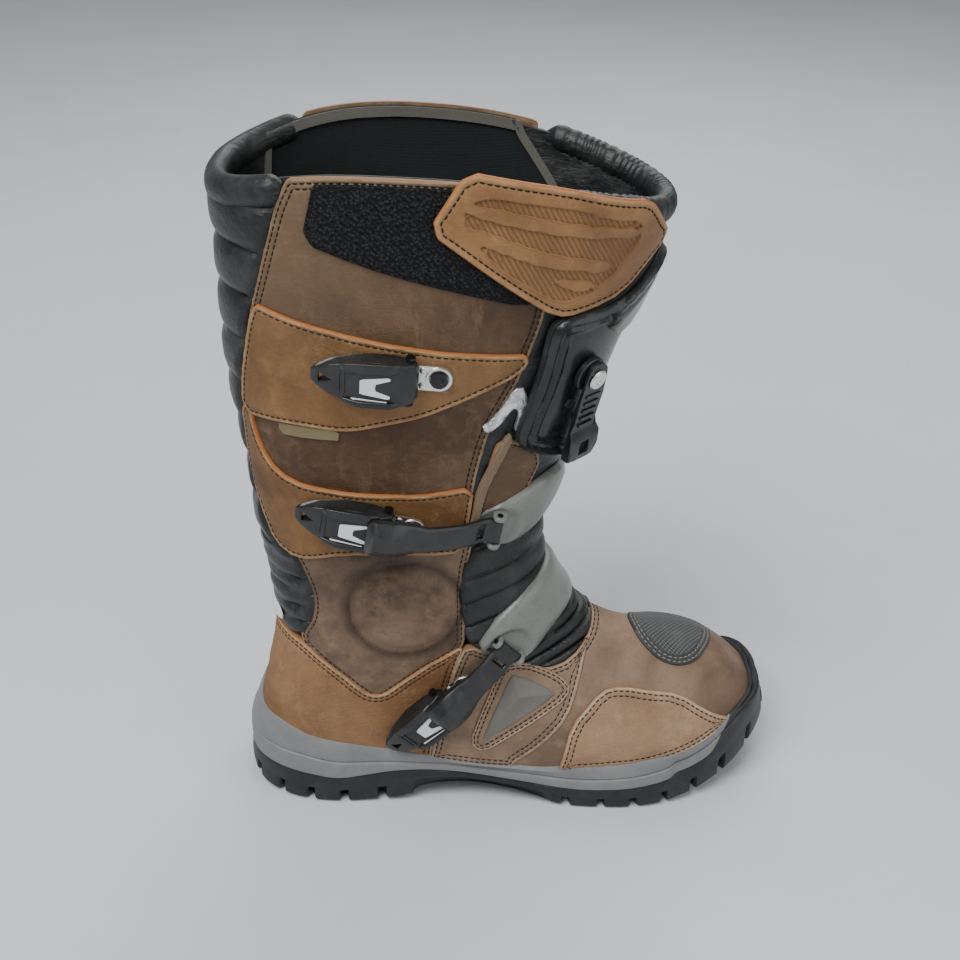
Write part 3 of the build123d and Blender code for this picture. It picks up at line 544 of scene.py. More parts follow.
def leather(name, deep, mid, pale, raw, seed, worn=0.5, rough=(0.46, 0.68), grain=1.0, kind="plain"):
    """Pull-up leather: dark oil, paler where it is rubbed, dusty scuffs, and a raw fibre colour at cut edges."""
    look = Look(name, specular=0.28)
    shifted = look.mapped(Location=(seed, seed * 0.7, -seed))
    fine = look.noise(95, 9, 0.72, 0.3, shifted)
    color = look.mix(look.between(look.noise(17, 5, 0.6, 0.6, shifted), 0.36, 0.66), deep, mid)
    scuffs = look.times(look.between(fine, 0.50, 0.72), look.between(look.noise(9, 4, 0.6, 0, shifted), 0.42, 0.62))
    color = look.over(color, pale, scuffs, worn)
    faded = look.between(look.noise(5.5, 3, 0.5, 0.3, shifted), 0.40, 0.68)
    color = look.over(color, look.mix(0.45, mid, pale), faded, worn * 0.8)
    streaks = look.noise(60, 8, 0.75, 1.2, look.mapped(shifted, Scale=(1, 1, 0.35)))
    color = look.over(color, pale, look.between(streaks, 0.57, 0.74), 0.35)
    pores = look.between(look.noise(640, 3, 0.5, 0, shifted), 0.55, 0.8)
    color = look.over(color, deep, pores, 0.35)
    rim = look.painted("edge")
    color = look.over(color, pale, look.between(rim, 3.2, 0.6), look.between(fine, 0.3, 0.6))
    color = look.mix(look.between(rim, 0.75, 0.35), color, look.mix(fine, raw, tuple(c * 0.55 for c in raw)))
    wear = look.between(look.sums("ADD", scuffs, look.times(fine, 0.5)), 0.1, 0.9)
    creases = look.cells(210, "DISTANCE_TO_EDGE", look.mapped(shifted, Scale=(1, 1, 1.5)))
    normal = look.bump(look.between(creases, 0.0, 0.12), 0.00022 * grain, 0.35)
    normal = look.bump(look.noise(900, 4, 0.6, 0, shifted), 0.00014 * grain, 0.5, Normal=normal)
    normal = look.bump(fine, 0.0009, 0.45, Normal=normal)
    if kind == "paler_at_top":  # paler towards the top and the back of the calf
        x, _, z = look.node("SeparateXYZ", Vector=look.place).outputs
        high = look.between(look.sums("SUBTRACT", z, look.times(x, 0.55)), 0.27, 0.37)
        color = look.over(color, look.mix(fine, mid, pale), high, 0.55)
    if kind == "ankle":  # paler rubbed creases over the ankle's disc, and painted shade as a dark ring round its border
        disc = look.painted("disc")
        creased = look.between(look.noise(34, 7, 0.7, 1.5, shifted), 0.42, 0.7)
        color = look.over(color, mid, look.times(look.between(disc, -1.0, 4.0), creased), 0.75)
        # painted shade: a dark ring just outside the disc's border, where its raised edge would throw shade
        line = look.between(look.sums("ABSOLUTE", look.sums("ADD", disc, 1.0)), 5.0, 0.0)
        color = look.over(color, deep, line, 0.7)
    if kind == "stamped":  # fine stamped lines where the flap is embossed
        stamp = look.painted("stamp")
        lines = look.waves(150, "X", look.mapped(Rotation=(0, 0.5, 0)), 1.2)
        inside = look.times(look.between(stamp, 0.5, 1.4), look.between(lines, 0.35, 0.8))
        color = look.over(color, deep, inside, 0.55)
        color = look.over(color, deep, look.between(look.sums("ABSOLUTE", stamp), 0.9, 0.0), 0.55)
        normal = look.bump(inside, 0.0007, 0.7, Normal=normal)
    return look.finish(color, look.ranged(wear, *rough), normal)


def soft_black(name, grain=420.0):
    """Black garment leather over padding: a pebbled grain with fine creases and dust on what stands out."""
    look = Look(name, specular=0.4)
    dust = look.between(look.noise(46, 8, 0.7), 0.5, 0.8)
    normal = look.bump(look.cells(grain, "SMOOTH_F1"), 0.00035, 0.4)
    creases = look.noise(120, 6, 0.65, 1.4, look.mapped(Scale=(1, 1, 2.2)))
    return look.finish(look.mix(dust, (0.010, 0.012, 0.012), (0.045, 0.048, 0.046)), look.ranged(dust, 0.36, 0.6),
                       look.bump(creases, 0.0011, 0.55, Normal=normal))


def toe_textile():
    """Rubber-backed abrasion panel with a raised diamond weave."""
    look = Look("toe_weave", roughness=0.55)
    turned = look.mapped(Rotation=(0, 0, math.radians(38)))
    weave = look.sums("MAXIMUM", look.waves(165, "X", turned), look.waves(165, "Y", turned))
    pattern = look.times(look.between(weave, 0.72, 0.98), look.between(look.painted("edge"), 5.6, 6.4))
    color = look.mix(pattern, (0.022, 0.024, 0.025), (0.11, 0.115, 0.11))
    color = look.mix(look.between(look.noise(70, 8, 0.7), 0.5, 0.85), color, (0.10, 0.10, 0.095))
    return look.finish(color, None, look.bump(look.sums("ADD", pattern, look.noise(500, 3)), 0.0006, 0.6))


def mesh_cloth(name, low, high, pitch=420.0):
    """Brushed knit: rows of small loops with lint."""
    look = Look(name, roughness=0.95, specular=0.15)
    loops = look.times(look.waves(pitch, "X", distortion=1.5), look.waves(pitch, "Z", distortion=1.5))
    lint = look.between(look.noise(260, 9, 0.8, 0.8), 0.6, 0.8)
    color = look.mix(look.sums("ADD", look.times(loops, 0.6), look.times(look.noise(30, 5), 0.4)), low, high)
    color = look.over(color, tuple(c * 2.2 for c in high), lint, 0.5)
    return look.finish(color, None, look.bump(look.sums("ADD", loops, look.noise(700, 4)), 0.0006, 0.7))


def loop_pile():
    """Hook-and-loop pile: dense dark tufts with faint wavy rows, and pale lint caught in it."""
    look = Look("loop_pile", roughness=0.9, specular=0.2)
    tufts = look.cells(620, "F1")
    rows = look.waves(210, "DIAGONAL", distortion=3.0)
    color = look.mix(look.between(tufts, 0.1, 0.55), (0.030, 0.032, 0.032), (0.005, 0.005, 0.006))
    color = look.over(color, (0.05, 0.052, 0.05), rows, 0.12)
    color = look.mix(look.between(look.noise(150, 10, 0.85, 4.0), 0.72, 0.78), color, (0.42, 0.43, 0.42))
    return look.finish(color, None, look.bump(look.sums("SUBTRACT", look.times(rows, 0.3), tufts), 0.0011, 0.9))


def moulded(name, base, dusty, rough=0.45, texture=0.3, dust_share=0.5):
    """Moulded plastic or rubber: a fine eroded texture, handling scratches and dust that settles in patches."""
    look = Look(name, roughness=rough)
    dust = look.dust(dust_share)
    scratches = look.between(look.noise(55, 10, 0.8, 2.5, look.mapped(Scale=(1, 1, 5))), 0.62, 0.7)
    color = look.over(look.mix(dust, base, dusty), dusty, scratches, 0.25)
    roughness = look.between(look.sums("ADD", look.times(dust, 0.4), rough), 0.0, 1.0)
    return look.finish(color, roughness, look.bump(look.noise(1300, 3), 0.0002, texture))


def two_rubbers():
    """The midsole's grey, which ends towards the toe where the black outsole turns up round it."""
    look = Look("midsole_grey", roughness=0.6)
    x, _, z = look.node("SeparateXYZ", Vector=look.place).outputs
    ahead = look.between(look.sums("SUBTRACT", x, look.times(z, 0.5)), 0.2180, 0.2185)
    color = look.mix(look.dust(0.5), look.mix(ahead, (0.180, 0.182, 0.182), (0.012, 0.014, 0.015)),
                     look.mix(ahead, (0.31, 0.305, 0.29), (0.085, 0.085, 0.08)))
    color = look.over(color, (0.30, 0.29, 0.27), look.between(look.noise(70, 10, 0.8, 2.5), 0.62, 0.7), 0.3)
    return look.finish(color, None, look.bump(look.noise(1300, 3), 0.0002, 0.4))


def metal(name, base, rough=0.3, grime=(0.16, 0.15, 0.13)):
    """Plated steel: fine brushing, dull spots and grime."""
    look = Look(name, metallic=1.0, roughness=rough)
    color = look.over(base, grime, look.between(look.noise(190, 8, 0.7), 0.52, 0.75), 0.45)
    brushed = look.noise(500, 4, 0.6, 0, look.mapped(Scale=(1, 1, 9)))
    return look.finish(color, look.ranged(look.noise(80, 7, 0.7), rough * 0.7, rough * 1.6),
                       look.bump(brushed, 0.0001, 0.3))


def foil():
    """Crinkled silver reflective film."""
    look = Look("silver_film", metallic=0.85, roughness=0.28)
    crinkle = look.noise(150, 6, 0.6, 2.0)
    color = look.mix(look.between(crinkle, 0.4, 0.6), (0.75, 0.76, 0.76), (0.42, 0.43, 0.43))
    return look.finish(color, None, look.bump(crinkle, 0.0009, 0.6))


def thread(name, color):
    look = Look("thread_" + name, roughness=0.8, specular=0.25)
    twist = look.waves(900, "DIAGONAL")
    return look.finish(look.mix(twist, tuple(c * 0.6 for c in color), color), None, look.bump(twist, 0.0002, 0.6))


BROWN_PALE, BROWN_RAW, RAW = (0.30, 0.21, 0.125), (0.30, 0.15, 0.08), (0.46, 0.160, 0.045)
SUEDE = {"worn": 0.65, "rough": (0.7, 0.88), "grain": 1.6}

leather_brown = leather("oiled_brown_leather", (0.040, 0.020, 0.009), (0.105, 0.057, 0.027), BROWN_PALE, BROWN_RAW, 0.0,
                        kind="paler_at_top")
leather_ankle = leather("ankle_brown_leather", (0.036, 0.021, 0.013), (0.19, 0.125, 0.080), BROWN_PALE, BROWN_RAW, 3.1,
                        0.6, kind="ankle")
leather_foot = leather("foot_brown_leather", (0.105, 0.062, 0.038), (0.26, 0.170, 0.110), (0.42, 0.32, 0.22),
                       (0.30, 0.17, 0.09), 0.4, 0.6)
leather_cover = leather("toe_cover_suede", (0.18, 0.100, 0.055), (0.35, 0.220, 0.130), (0.50, 0.38, 0.26),
                        (0.38, 0.20, 0.10), 5.2, **SUEDE)
leather_tan = leather("tan_leather", (0.095, 0.044, 0.014), (0.225, 0.115, 0.042), (0.40, 0.26, 0.13), RAW, 0.9, 0.55,
                      (0.5, 0.72))
leather_suede = leather("tan_suede", (0.13, 0.058, 0.020), (0.29, 0.150, 0.065), (0.46, 0.31, 0.18),
                        (0.40, 0.18, 0.07), 1.7, **SUEDE)
leather_flap = leather("embossed_tan_leather", (0.15, 0.070, 0.026), (0.30, 0.155, 0.060), (0.45, 0.27, 0.13), RAW, 2.3,
                       0.45, (0.45, 0.66), kind="stamped")
black_leather = soft_black("soft_black_leather")
black_pleats = soft_black("pleated_black_leather", grain=300.0)
toe_weave = toe_textile()
lining_cloth = mesh_cloth("lining_mesh", (0.012, 0.014, 0.014), (0.034, 0.040, 0.040))
raw_edge = mesh_cloth("raw_leather_edge", (0.17, 0.115, 0.075), (0.36, 0.27, 0.19), 600.0)
binding_cloth = mesh_cloth("lining_binding", (0.10, 0.095, 0.08), (0.24, 0.23, 0.20), 600.0)
label_cloth = mesh_cloth("woven_label", (0.16, 0.13, 0.07), (0.40, 0.34, 0.20), 800.0)
pile = loop_pile()
black_plastic = moulded("black_plastic", (0.010, 0.0115, 0.012), (0.10, 0.105, 0.10), 0.32, dust_share=0.26)
shin_plastic = moulded("shin_plate_plastic", (0.008, 0.010, 0.010), (0.09, 0.098, 0.098), 0.26, dust_share=0.25)
soft_rubber = moulded("soft_black_rubber", (0.012, 0.014, 0.014), (0.075, 0.08, 0.08), 0.55)
grey_plastic = moulded("satin_grey_plastic", (0.160, 0.170, 0.150), (0.27, 0.27, 0.25), 0.26)
guard_rubber = moulded("guard_grey_rubber", (0.125, 0.118, 0.100), (0.23, 0.22, 0.19), 0.5)
midsole_rubber = two_rubbers()
outsole_rubber = moulded("outsole_black", (0.008, 0.010, 0.0105), (0.085, 0.085, 0.08), 0.5, 0.5, 0.3)
badge_white = moulded("pale_badge", (0.72, 0.73, 0.73), (0.55, 0.55, 0.53), 0.3, 0.1, 0.2)
bright_steel = metal("plated_steel", (0.78, 0.78, 0.75))
black_screw = metal("black_screw", (0.05, 0.05, 0.052), 0.35, (0.02, 0.02, 0.02))
silver = foil()
THREADS = {name: thread(name, color) for name, color in (
    ("brown", (0.035, 0.020, 0.013)), ("black", (0.012, 0.012, 0.012)), ("pale", (0.30, 0.27, 0.22)))}

# ---------------------------------------------------------------- side-view lines, as x and z; +x is to the toe
RIM = [(-70, 368), (-33, 377), (9, 388), (45, 390), (90, 387), (130, 380), (165, 370), (230, 350)]
CALF_EDGE = [(12, 410), (9, 389), (1, 375), (-7, 349), (-15, 322), (-19, 308), (-24, 280), (-26, 258), (-26, 225),
             (-22, 200), (-15, 175)]
FRONT_EDGE = [(86, 174), (92, 225), (99, 255), (113, 282), (124, 315), (127, 347), (130, 410)]
ANKLE_REAR = [(-3, 172), (4, 152), (4, 135), (-6, 114)]
ANKLE_V = [(-6, 114), (16, 98), (36, 77), (61, 98), (87, 115)]
COLLAR = [(87, 115), (105, 103), (119, 92), (133, 87), (148, 90), (161, 101), (172, 125)]
HEEL_FRONT = [(87, 115), (81, 101), (66, 36), (62, 0)]
INSTEP_TOP = [(86, 174), (100, 184), (130, 197), (200, 226)]
SOLE_TOP = [(-60, 56), (-30, 56), (-18, 55), (0, 48), (36, 40), (60, 34), (100, 30), (150, 29), (190, 33), (225, 44),
            (247, 53), (262, 57), (300, 59)]
TREAD_TOP = [(-60, 24), (-30, 22), (-5, 20), (11, 17), (29, 20), (46, 23), (70, 23), (110, 17), (150, 12), (190, 14),
             (222, 22), (238, 34), (250, 49), (262, 54), (300, 56)]
GROUND = [(-60, 12), (-43, 12), (-38, 4), (-29, 0), (54, 0), (58, 11), (90, 14), (122, 8), (140, 1), (152, 0), (198, 0),
          (224, 5), (248, 13), (266, 25), (300, 46)]
ABOVE_SOLE = [(x, z - 3) for x, z in SOLE_TOP] + [(300, 420), (-70, 420)]
LINING_DEPTH, LEATHER_DEPTH = -6.6, -2.6


def moved(points, dx, dz):
    return [(x + dx, z + dz) for x, z in points]


def below_rim(drop):
    return moved(softened(RIM, 3, closed=False), 0, -drop) + [(310, 350), (310, -40), (-90, -40), (-90, 368)]


def rolls(pitch, start, low, high, sharpness=3.0):
    """Padded rolls one above another: each is high in its middle and low at the seams between them."""
    def height(patch):
        place = patch.places[:, 2] + 1.5 * np.sin(patch.places[:, 1] / 21)
        share = ((place - start) / pitch) % 1.0
        full = 1 - np.abs(2 * share - 1) ** sharpness
        return low + (high - low) * np.sqrt(np.clip(full, 0, 1)) * smoothstep(patch.fields["edge"] / 5 + 0.15)
    return height


def bellows(first, pitch, low, high):
    """Folds that fan round the front of the ankle with the boot's sections."""
    def height(patch):
        share = ((patch.fields["row"] - first) / pitch + 0.05 * np.sin(patch.places[:, 1] / 9)) % 1.0
        fold = np.sqrt(np.clip(1 - np.abs(2 * share - 1) ** 2.4, 0, 1))
        return low + (high - low) * fold * smoothstep(patch.fields["edge"] / 4 + 0.2)
    return height


def raised(base, *shapes):
    """A height with smooth steps: each shape is a field's name, its height, and how wide its slope is."""
    def height(patch):
        total = np.full(len(patch.places), float(base))
        for key, rise, slope in shapes:
            total += rise * smoothstep(patch.fields[key] / slope)
        return total
    return height


rim_field = boot.true_distance(to_outline(x_map, z_map, below_rim(2.2)))

# ---- leather of the shaft and foot ----
shaft = CALF_EDGE[:-1] + [(-17, 183), (23, 186), (88, 187)] + FRONT_EDGE[1:]
for sides, side in SIDES:
    panel(f"shaft_{side}_leather", side_field(shaft, below_rim(1.2), sides=sides), LEATHER_DEPTH, 0.3, leather_brown,
          [f"shaft_{side}"], seams=(2.4, 5.0), thread="black")

ANKLE_CENTRE, ANKLE_RADIUS, ANKLE_RISE = (54, 142), 31.0, ("disc", 3.4, 11.0)
disc = boot.true_distance(ANKLE_RADIUS - np.hypot(x_map - ANKLE_CENTRE[0], z_map - ANKLE_CENTRE[1]))
disc_fields = {"disc": disc, "disc_line": 1.6 - np.abs(disc)}
quarter = moved(ANKLE_REAR, -2, 0) + moved(ANKLE_V, 0, -4)[1:] + [(87, 160), (92, 189), (-12, 189)]
for sides, side in SIDES:
    panel(f"quarter_{side}_leather", side_field(quarter, sides=sides), LEATHER_DEPTH,
          raised(0.1, ANKLE_RISE, ("disc_line", -1.1, 1.5)), leather_ankle,
          [f"quarter_{side}"] + ["ankle_patch"] * (sides == OUTER), seams=(2.2, 4.6), extra=disc_fields,
          painted=("disc",))

heel = [(-70, 116)] + moved(ANKLE_V, 0, 1.2) + moved(HEEL_FRONT[1:], 1.5, 0) + [(-70, 0)]
panel("heel_suede", side_field(heel), LEATHER_DEPTH, 1.3, leather_suede, ["heel_cover"], seams=(2.4, 5.0))
vamp = moved(COLLAR, 0, 0.6) + [(310, 125), (310, 0)] + HEEL_FRONT[:0:-1]
panel("vamp_leather", side_field(vamp), LEATHER_DEPTH, 0.5, leather_foot, ["vamp"], seams=(2.4, 5.0))
vamp_side = COLLAR[:-1] + [(157, 92), (154, 80), (147, 60), (130, 42), (113, 28), (112, 12), (66, 12), (67, 36),
                           (81, 101)]
panel("vamp_side_leather", side_field(moved(vamp_side, 0, 0.4), ABOVE_SOLE, soft=1), 0.2, 1.5, leather_foot,
      seams=(2.4, 5.0))
cover = [(136, 0), (148, 56), (166, 75), (178, 77), (212, 71), (244, 50), (258, 40), (310, 40), (310, 0)]
for sides, side in SIDES:
    panel(f"forefoot_cover_{side}_suede", side_field(cover, ABOVE_SOLE, sides=sides, soft=1), 0.2, 1.9, leather_cover,
          [f"forefoot_cover_{side}"], seams=(2.4, 5.2))

# ---- tan bands round the calf, joined behind a window ----
BANDS = {"upper": (2.3, [(-24.8, 258), (-23, 280), (-17, 309), (-13, 322), (-6, 320), (8, 316), (46, 308), (79, 302),
                         (119, 297), (113, 287), (93, 278), (64, 266), (29, 258), (4, 259)]),
         "lower": (2.2, [(-25, 262), (-20, 262), (-18.5, 246), (-13, 232), (-2, 224), (23, 221), (63, 219), (91, 222),
                         (86, 179), (60, 181), (23, 181), (-3, 173), (-14, 178.5), (-20.8, 200), (-25, 224)])}
for name, (height, outline) in BANDS.items():
    panel(f"band_{name}_leather", outer(outline), 0.3, height, leather_tan, [f"band_{name}"], seams=(2.6,))
heat_guard = [(-17, 300), (60, 296), (116, 290), (98, 254), (91, 225), (83, 160), (84, 116), (61, 101), (36, 80),
              (16, 101), (-2, 116), (6, 136), (6, 152), (-13, 178), (-21, 202), (-25, 226), (-24, 258)]
panel("heat_guard_suede", side_field(heat_guard, sides=INNER, soft=1), 0.3, raised(2.2, ANKLE_RISE), leather_suede,
      ["heat_guard"], seams=(2.6, 5.2), extra={"disc": disc})
label = [(-6, 258), (24, 258), (24, 252.5), (-6, 252.5)]
panel("side_label_cloth", outer(label, soft=0), 0.5, 1.5, label_cloth, ["side_label"], edge_radius=0.4)

# ---- black padding ----
calf = moved(CALF_EDGE + [(-15, 170), (-70, 170), (-70, 410)], 1.5, 0)
achilles = [(-70, 115), *moved(ANKLE_REAR[::-1], 2, 0), (-6, 178), (-70, 178)]
flex = moved(COLLAR, 0, -1) + INSTEP_TOP[::-1] + [(82, 153)]
tongue = moved(FRONT_EDGE[:6], -2, 0) + [(280, 347), (280, 222)] + INSTEP_TOP[:0:-1]
front = [(125, 345), (128, 410), (280, 410), (280, 345)]


def pleats(patch):
    share = (patch.fields["round"] * 150) % 1.0
    deep = smoothstep((patch.places[:, 2] - 343) / 26)
    return 1.9 - 1.0 * deep * np.abs(2 * share - 1) ** 2 - 0.8 * (1 - smoothstep(patch.fields["edge"] / 4))


for name, node, field, height, fill, radius in (
        ("calf_padding", "calf_pad", side_field(calf, below_rim(5)), rolls(24.5, 346, -1.4, 3.2), 0.7, 1.6),
        ("achilles_padding", "achilles_flex", side_field(achilles), rolls(10, 116, -1.6, 2.2), 0.8, 1.6),
        ("ankle_bellows", "instep_flex", side_field(flex), bellows(5.0, 0.52, -1.8, 2.6), 0.75, 1.4),
        ("tongue_leather", "tongue", side_field(tongue), bellows(4.2, 0.45, -1.2, 0.2), 0.5, 1.2),
        ("front_collar_padding", "front_collar", side_field(front, below_rim(5)), pleats, 0.8, 1.6)):
    look = black_pleats if height is pleats else black_leather
    panel(name, field, LEATHER_DEPTH, height, look, [node], edge_radius=radius)

# ---- small patches ----
strip = [(103, 250), (117, 243), (127, 230), (116, 204), (108, 193), (91, 188), (95, 222)]
panel("tongue_strip_leather", outer(strip), 0.2, 1.9, leather_brown, ["tongue_strip"], seams=(2.2,))
raw_strip = [(107, 252), (111, 250), (97, 219), (91, 188), (87, 188), (92, 219)]
panel("tongue_raw_edge", outer(raw_strip), 0.2, 3.2, raw_edge)
loops = [(23, 400), (12, 357), (34, 349), (65, 339), (112, 325), (124, 326), (126, 345), (128, 400)]
panel("loop_patch_pile", outer(loops, below_rim(4)), 0.3, 1.9, pile, ["loop_patch"], seams=(1.6,), thread="black")
foil_insert = [(93, 257), (99, 262), (106, 271), (110, 279), (116, 278), (118, 262), (114, 252), (110, 251), (113, 264),
               (110, 268), (104, 258), (97, 254)]
panel("silver_insert", outer(foil_insert, grid=form), 0.3, 2.2, silver, grid=form)
heel_patch = [(-60, 134), (-15, 132), (-12, 121), (-60, 121)]
panel("heel_patch_cloth", side_field(heel_patch, soft=1), 2.0, 3.2, badge_white, ["heel_patch"], edge_radius=0.5)
TOE_PAD = [(184, 2), (191, -19), (207, -28), (224, -22), (236, -2), (240, 14), (232, 27), (212, 30), (192, 22)]
TOE_PAD_HEIGHT, TOE_PAD_HALF = 80, 20  # the plan outline counts this far above and below the height
toe_field = np.minimum(to_outline(x_map, y_map, softened(TOE_PAD, 3)), TOE_PAD_HALF - np.abs(z_map - TOE_PAD_HEIGHT))
panel("toe_pad_weave", boot.true_distance(toe_field), 0.2, 2.0, toe_weave, ["toe_pad"], seams=(1.8, 4.2), thread="pale")

# ---- triangle guard: three facets rise to a peak, inside a rim ----
GUARD = [(95, 47), (98, 43), (140, 71), (141, 75), (116, 90), (111, 90)]
GUARD_CORNERS, GUARD_PEAK = [(96, 45), (113, 90), (141, 73)], (117, 74.5)
GUARD_BORDER = [(89, 44), (97, 37), (147, 71), (148, 79), (120, 96), (107, 96)]


def share_to_peak(a, b):
    """How far each place is from the guard's side through a and b, as a share of the peak's distance."""
    lift, run = b[1] - a[1], a[0] - b[0]
    whole = (GUARD_PEAK[0] - a[0]) * lift + (GUARD_PEAK[1] - a[1]) * run
    return ((form.places[..., 0] - a[0]) * lift + (form.places[..., 2] - a[1]) * run) / whole


def faceted(patch):
    slope = np.clip(np.min([patch.fields[f"facet_{n}"] for n in range(3)], 0), 0, 1)
    return 1.8 + 1.2 * smoothstep((patch.fields["edge"] - 1.6) / 1.0) + 4.2 * slope


facets = [share_to_peak(GUARD_CORNERS[n], GUARD_CORNERS[(n + 1) % 3]) for n in range(3)]
fields = {f"facet_{n}": facets[n] for n in range(3)} | {f"ridge_{n}": facets[n] - facets[n - 1] for n in range(3)}
panel("triangle_guard_rubber", outer(GUARD, grid=form), 0.4, faceted, guard_rubber, ["triangle_guard"], sharp=16,
      extra=fields, cuts=[(f"ridge_{n}", 0.0) for n in range(3)] + [("edge", 1.6), ("edge", 2.6)], grid=form)
panel("triangle_border_leather", outer(GUARD_BORDER), 1.4, 2.4, leather_foot, seams=(1.6, 3.8))

# ---- lining, and the binding round it ----
lining_zone = [(-12, 410), (-19, 330), (-30, 290), (-60, 250), (-60, -20), (310, -20), (310, 240), (160, 300),
               (140, 345), (118, 376), (112, 410)]
zone = side_field(lining_zone, soft=1)
for name, field, low, high, look, nodes in (
        ("lining_cloth", np.minimum(zone, rim_field), 0, -4.4, lining_cloth, ["lining"]),
        ("collar_inside_leather", np.minimum(-zone, rim_field - 2), -0.4, -4.4, black_leather, []),
        ("lining_binding", np.minimum(2.2 - np.abs(zone), rim_field), -1.3, -6.2, binding_cloth, []),
        ("lining_top_binding", np.min([zone, rim_field - 0.2, 5.5 - rim_field], 0), -1.3, -6.2, binding_cloth, [])):
    panel(name, field, LINING_DEPTH + low, high, look, nodes)

# ---------------------------------------------------------------- the padded roll round the top
def rim_path(drop):
    """Points round the boot where the rim's curve crosses each column, with the normal and the way up."""
    rim = np.array(softened(RIM, 3, closed=False))
    places, ups, outs = [], [], []
    for k in range(COLUMNS):
        column = boot.places[:, k]
        gap = np.interp(column[:, 0], rim[:, 0], rim[:, 1]) - drop - column[:, 2]
        i = int(np.argmax(gap > 0))
        f = gap[i] / (gap[i] - gap[i - 1])
        places.append(column[i] + f * (column[i - 1] - column[i]))
        ups.append(column[i - 1] - column[i])
        outs.append(boot.normals[i, k])
    ups, outs = np.array(ups), np.array(outs)
    ups /= np.linalg.norm(ups, axis=1)[:, None]
    return np.array(places), ups, outs


ROLL_FROM, ROLL_TO = 6, 132  # the roll covers the rim behind the first and ahead of the second
ROLL_THICK, ROLL_TALL, ROLL_PLEAT, ROLL_SIDES, ROLL_FINE = 6.2, 8.0, 0.07, 20, 4


def make_collar_roll():
    """A closed roll along each padded part of the rim, tapering into the panels at its ends."""
    places, ups, outs = rim_path(4.5)
    x = places[:, 0]
    size = smoothstep((ROLL_FROM - x) / 9) + smoothstep((x - ROLL_TO) / 9)
    here = size > 0.01
    start = int(np.argmin(here))
    runs = [[]]
    for k in [(start + k) % COLUMNS for k in range(COLUMNS)]:
        if here[k]:
            runs[-1].append(k)
        elif runs[-1]:
            runs.append([])
    points, faces = [], []
    for run in filter(None, runs):
        stations = np.arange((len(run) - 1) * ROLL_FINE + 1) / ROLL_FINE
        rows = [np.column_stack([np.interp(stations, range(len(run)), column) for column in table[run].T])
                for table in (places, outs, ups, np.column_stack([size, x]))]
        tucked = smoothstep((176 - rows[0][:, 0]) / 12) * (rows[0][:, 1] < 0) * smoothstep((rows[0][:, 0] - 100) / 10)
        length = np.append(0, np.cumsum(np.linalg.norm(np.diff(rows[0], axis=0), axis=1)))
        faces += tube(len(stations), ROLL_SIDES, len(points))
        for place, out, up, (share, along_x), tuck, at in zip(*rows, tucked, length):
            pleat = 0.5 + 0.5 * math.cos(2 * math.pi * (at + 1.6 * math.sin(at / 4.3)) / 4.6)
            gather = ROLL_PLEAT * float(smoothstep((along_x - ROLL_TO) / 20)) * pleat
            radius = (1 - gather) * math.sqrt(share)
            thick, tall = ROLL_THICK * radius, ROLL_TALL * radius
            points += [place + out * (-2.4 - 2.9 * tuck + thick * c) + up * (-2.5 + tall * s)
                       for c, s in circle(0, 0, 1, ROLL_SIDES)]
    roll = to_object("collar_roll", points, faces, black_pleats, sharp=60)
    carry(roll, "boot", ["top_binding"])


def circle(x, y, radius, count=40):
    return [(x + radius * math.cos(a), y + radius * math.sin(a)) for a in np.linspace(0, 2 * math.pi, count + 1)[:-1]]


make_collar_roll()


# ---------------------------------------------------------------- sole
SOLE_PLAN = [(-42, 0), (-37, 24), (-22, 37), (5, 41), (50, 39), (90, 37), (130, 41), (165, 49), (200, 53), (232, 48),
             (256, 34), (270, 16), (273, 0), (264, -20), (247, -37), (222, -50), (192, -56.5), (158, -55.5),
             (122, -50), (85, -46), (40, -45.5), (5, -45), (-20, -38), (-37, -23)]
PLAN_POINTS = 620


def around_plan():
    """Evenly spaced points round the sole's plan, with the outward direction at each."""
    knots = np.array(SOLE_PLAN, float)
    before, after, beyond = np.roll(knots, 1, 0), np.roll(knots, -1, 0), np.roll(knots, -2, 0)
    f = np.linspace(0, 1, 40, endpoint=False)[None, :, None]
    a, b, c, d = before[:, None], knots[:, None], after[:, None], beyond[:, None]
    curve = 0.5 * (2 * b + (c - a) * f + (2 * a - 5 * b + 4 * c - d) * f**2 + (3 * b - a - 3 * c + d) * f**3)
    curve = np.vstack([curve.reshape(-1, 2), knots[:1]])
    run = np.append(0, np.cumsum(np.linalg.norm(np.diff(curve, axis=0), axis=1)))
    even = np.linspace(0, run[-1], PLAN_POINTS + 1)[:-1]
    plan = np.stack([np.interp(even, run, curve[:, k]) for k in (0, 1)], -1)
    along = np.roll(plan, -1, 0) - np.roll(plan, 1, 0)
    out = np.stack([-along[:, 1], along[:, 0]], -1) / np.linalg.norm(along, axis=1)[:, None]
    return plan, out, even


def line_at(line, x):
    smooth = np.array(softened(line, 2, closed=False))
    return np.interp(x, smooth[:, 0], smooth[:, 1])


plan, plan_out, plan_run = around_plan()
spine = np.stack([np.clip(plan[:, 0], 0, 228), np.interp(plan[:, 0], (0, 120, 228), (-2, -4, 0))], -1)


def swept(name, node, rings, material, sharp=32):
    """A closed solid from rings round the plan: each is outward distance, height and share of the way to the spine."""
    points = []
    for out, z, share in rings:
        out, z, share = (np.broadcast_to(value, plan_run.shape)[:, None] for value in (out, z, share))
        points.append(np.hstack([spine + (plan + plan_out * out - spine) * share, z]))
    n, count = PLAN_POINTS, len(rings)
    faces = [(i * n + k, i * n + (k + 1) % n, (i + 1) % count * n + (k + 1) % n, (i + 1) % count * n + k)
             for i in range(count) for k in range(n)]
    carry(to_object(name, np.vstack(points), faces, material, sharp=sharp), "boot", [node])


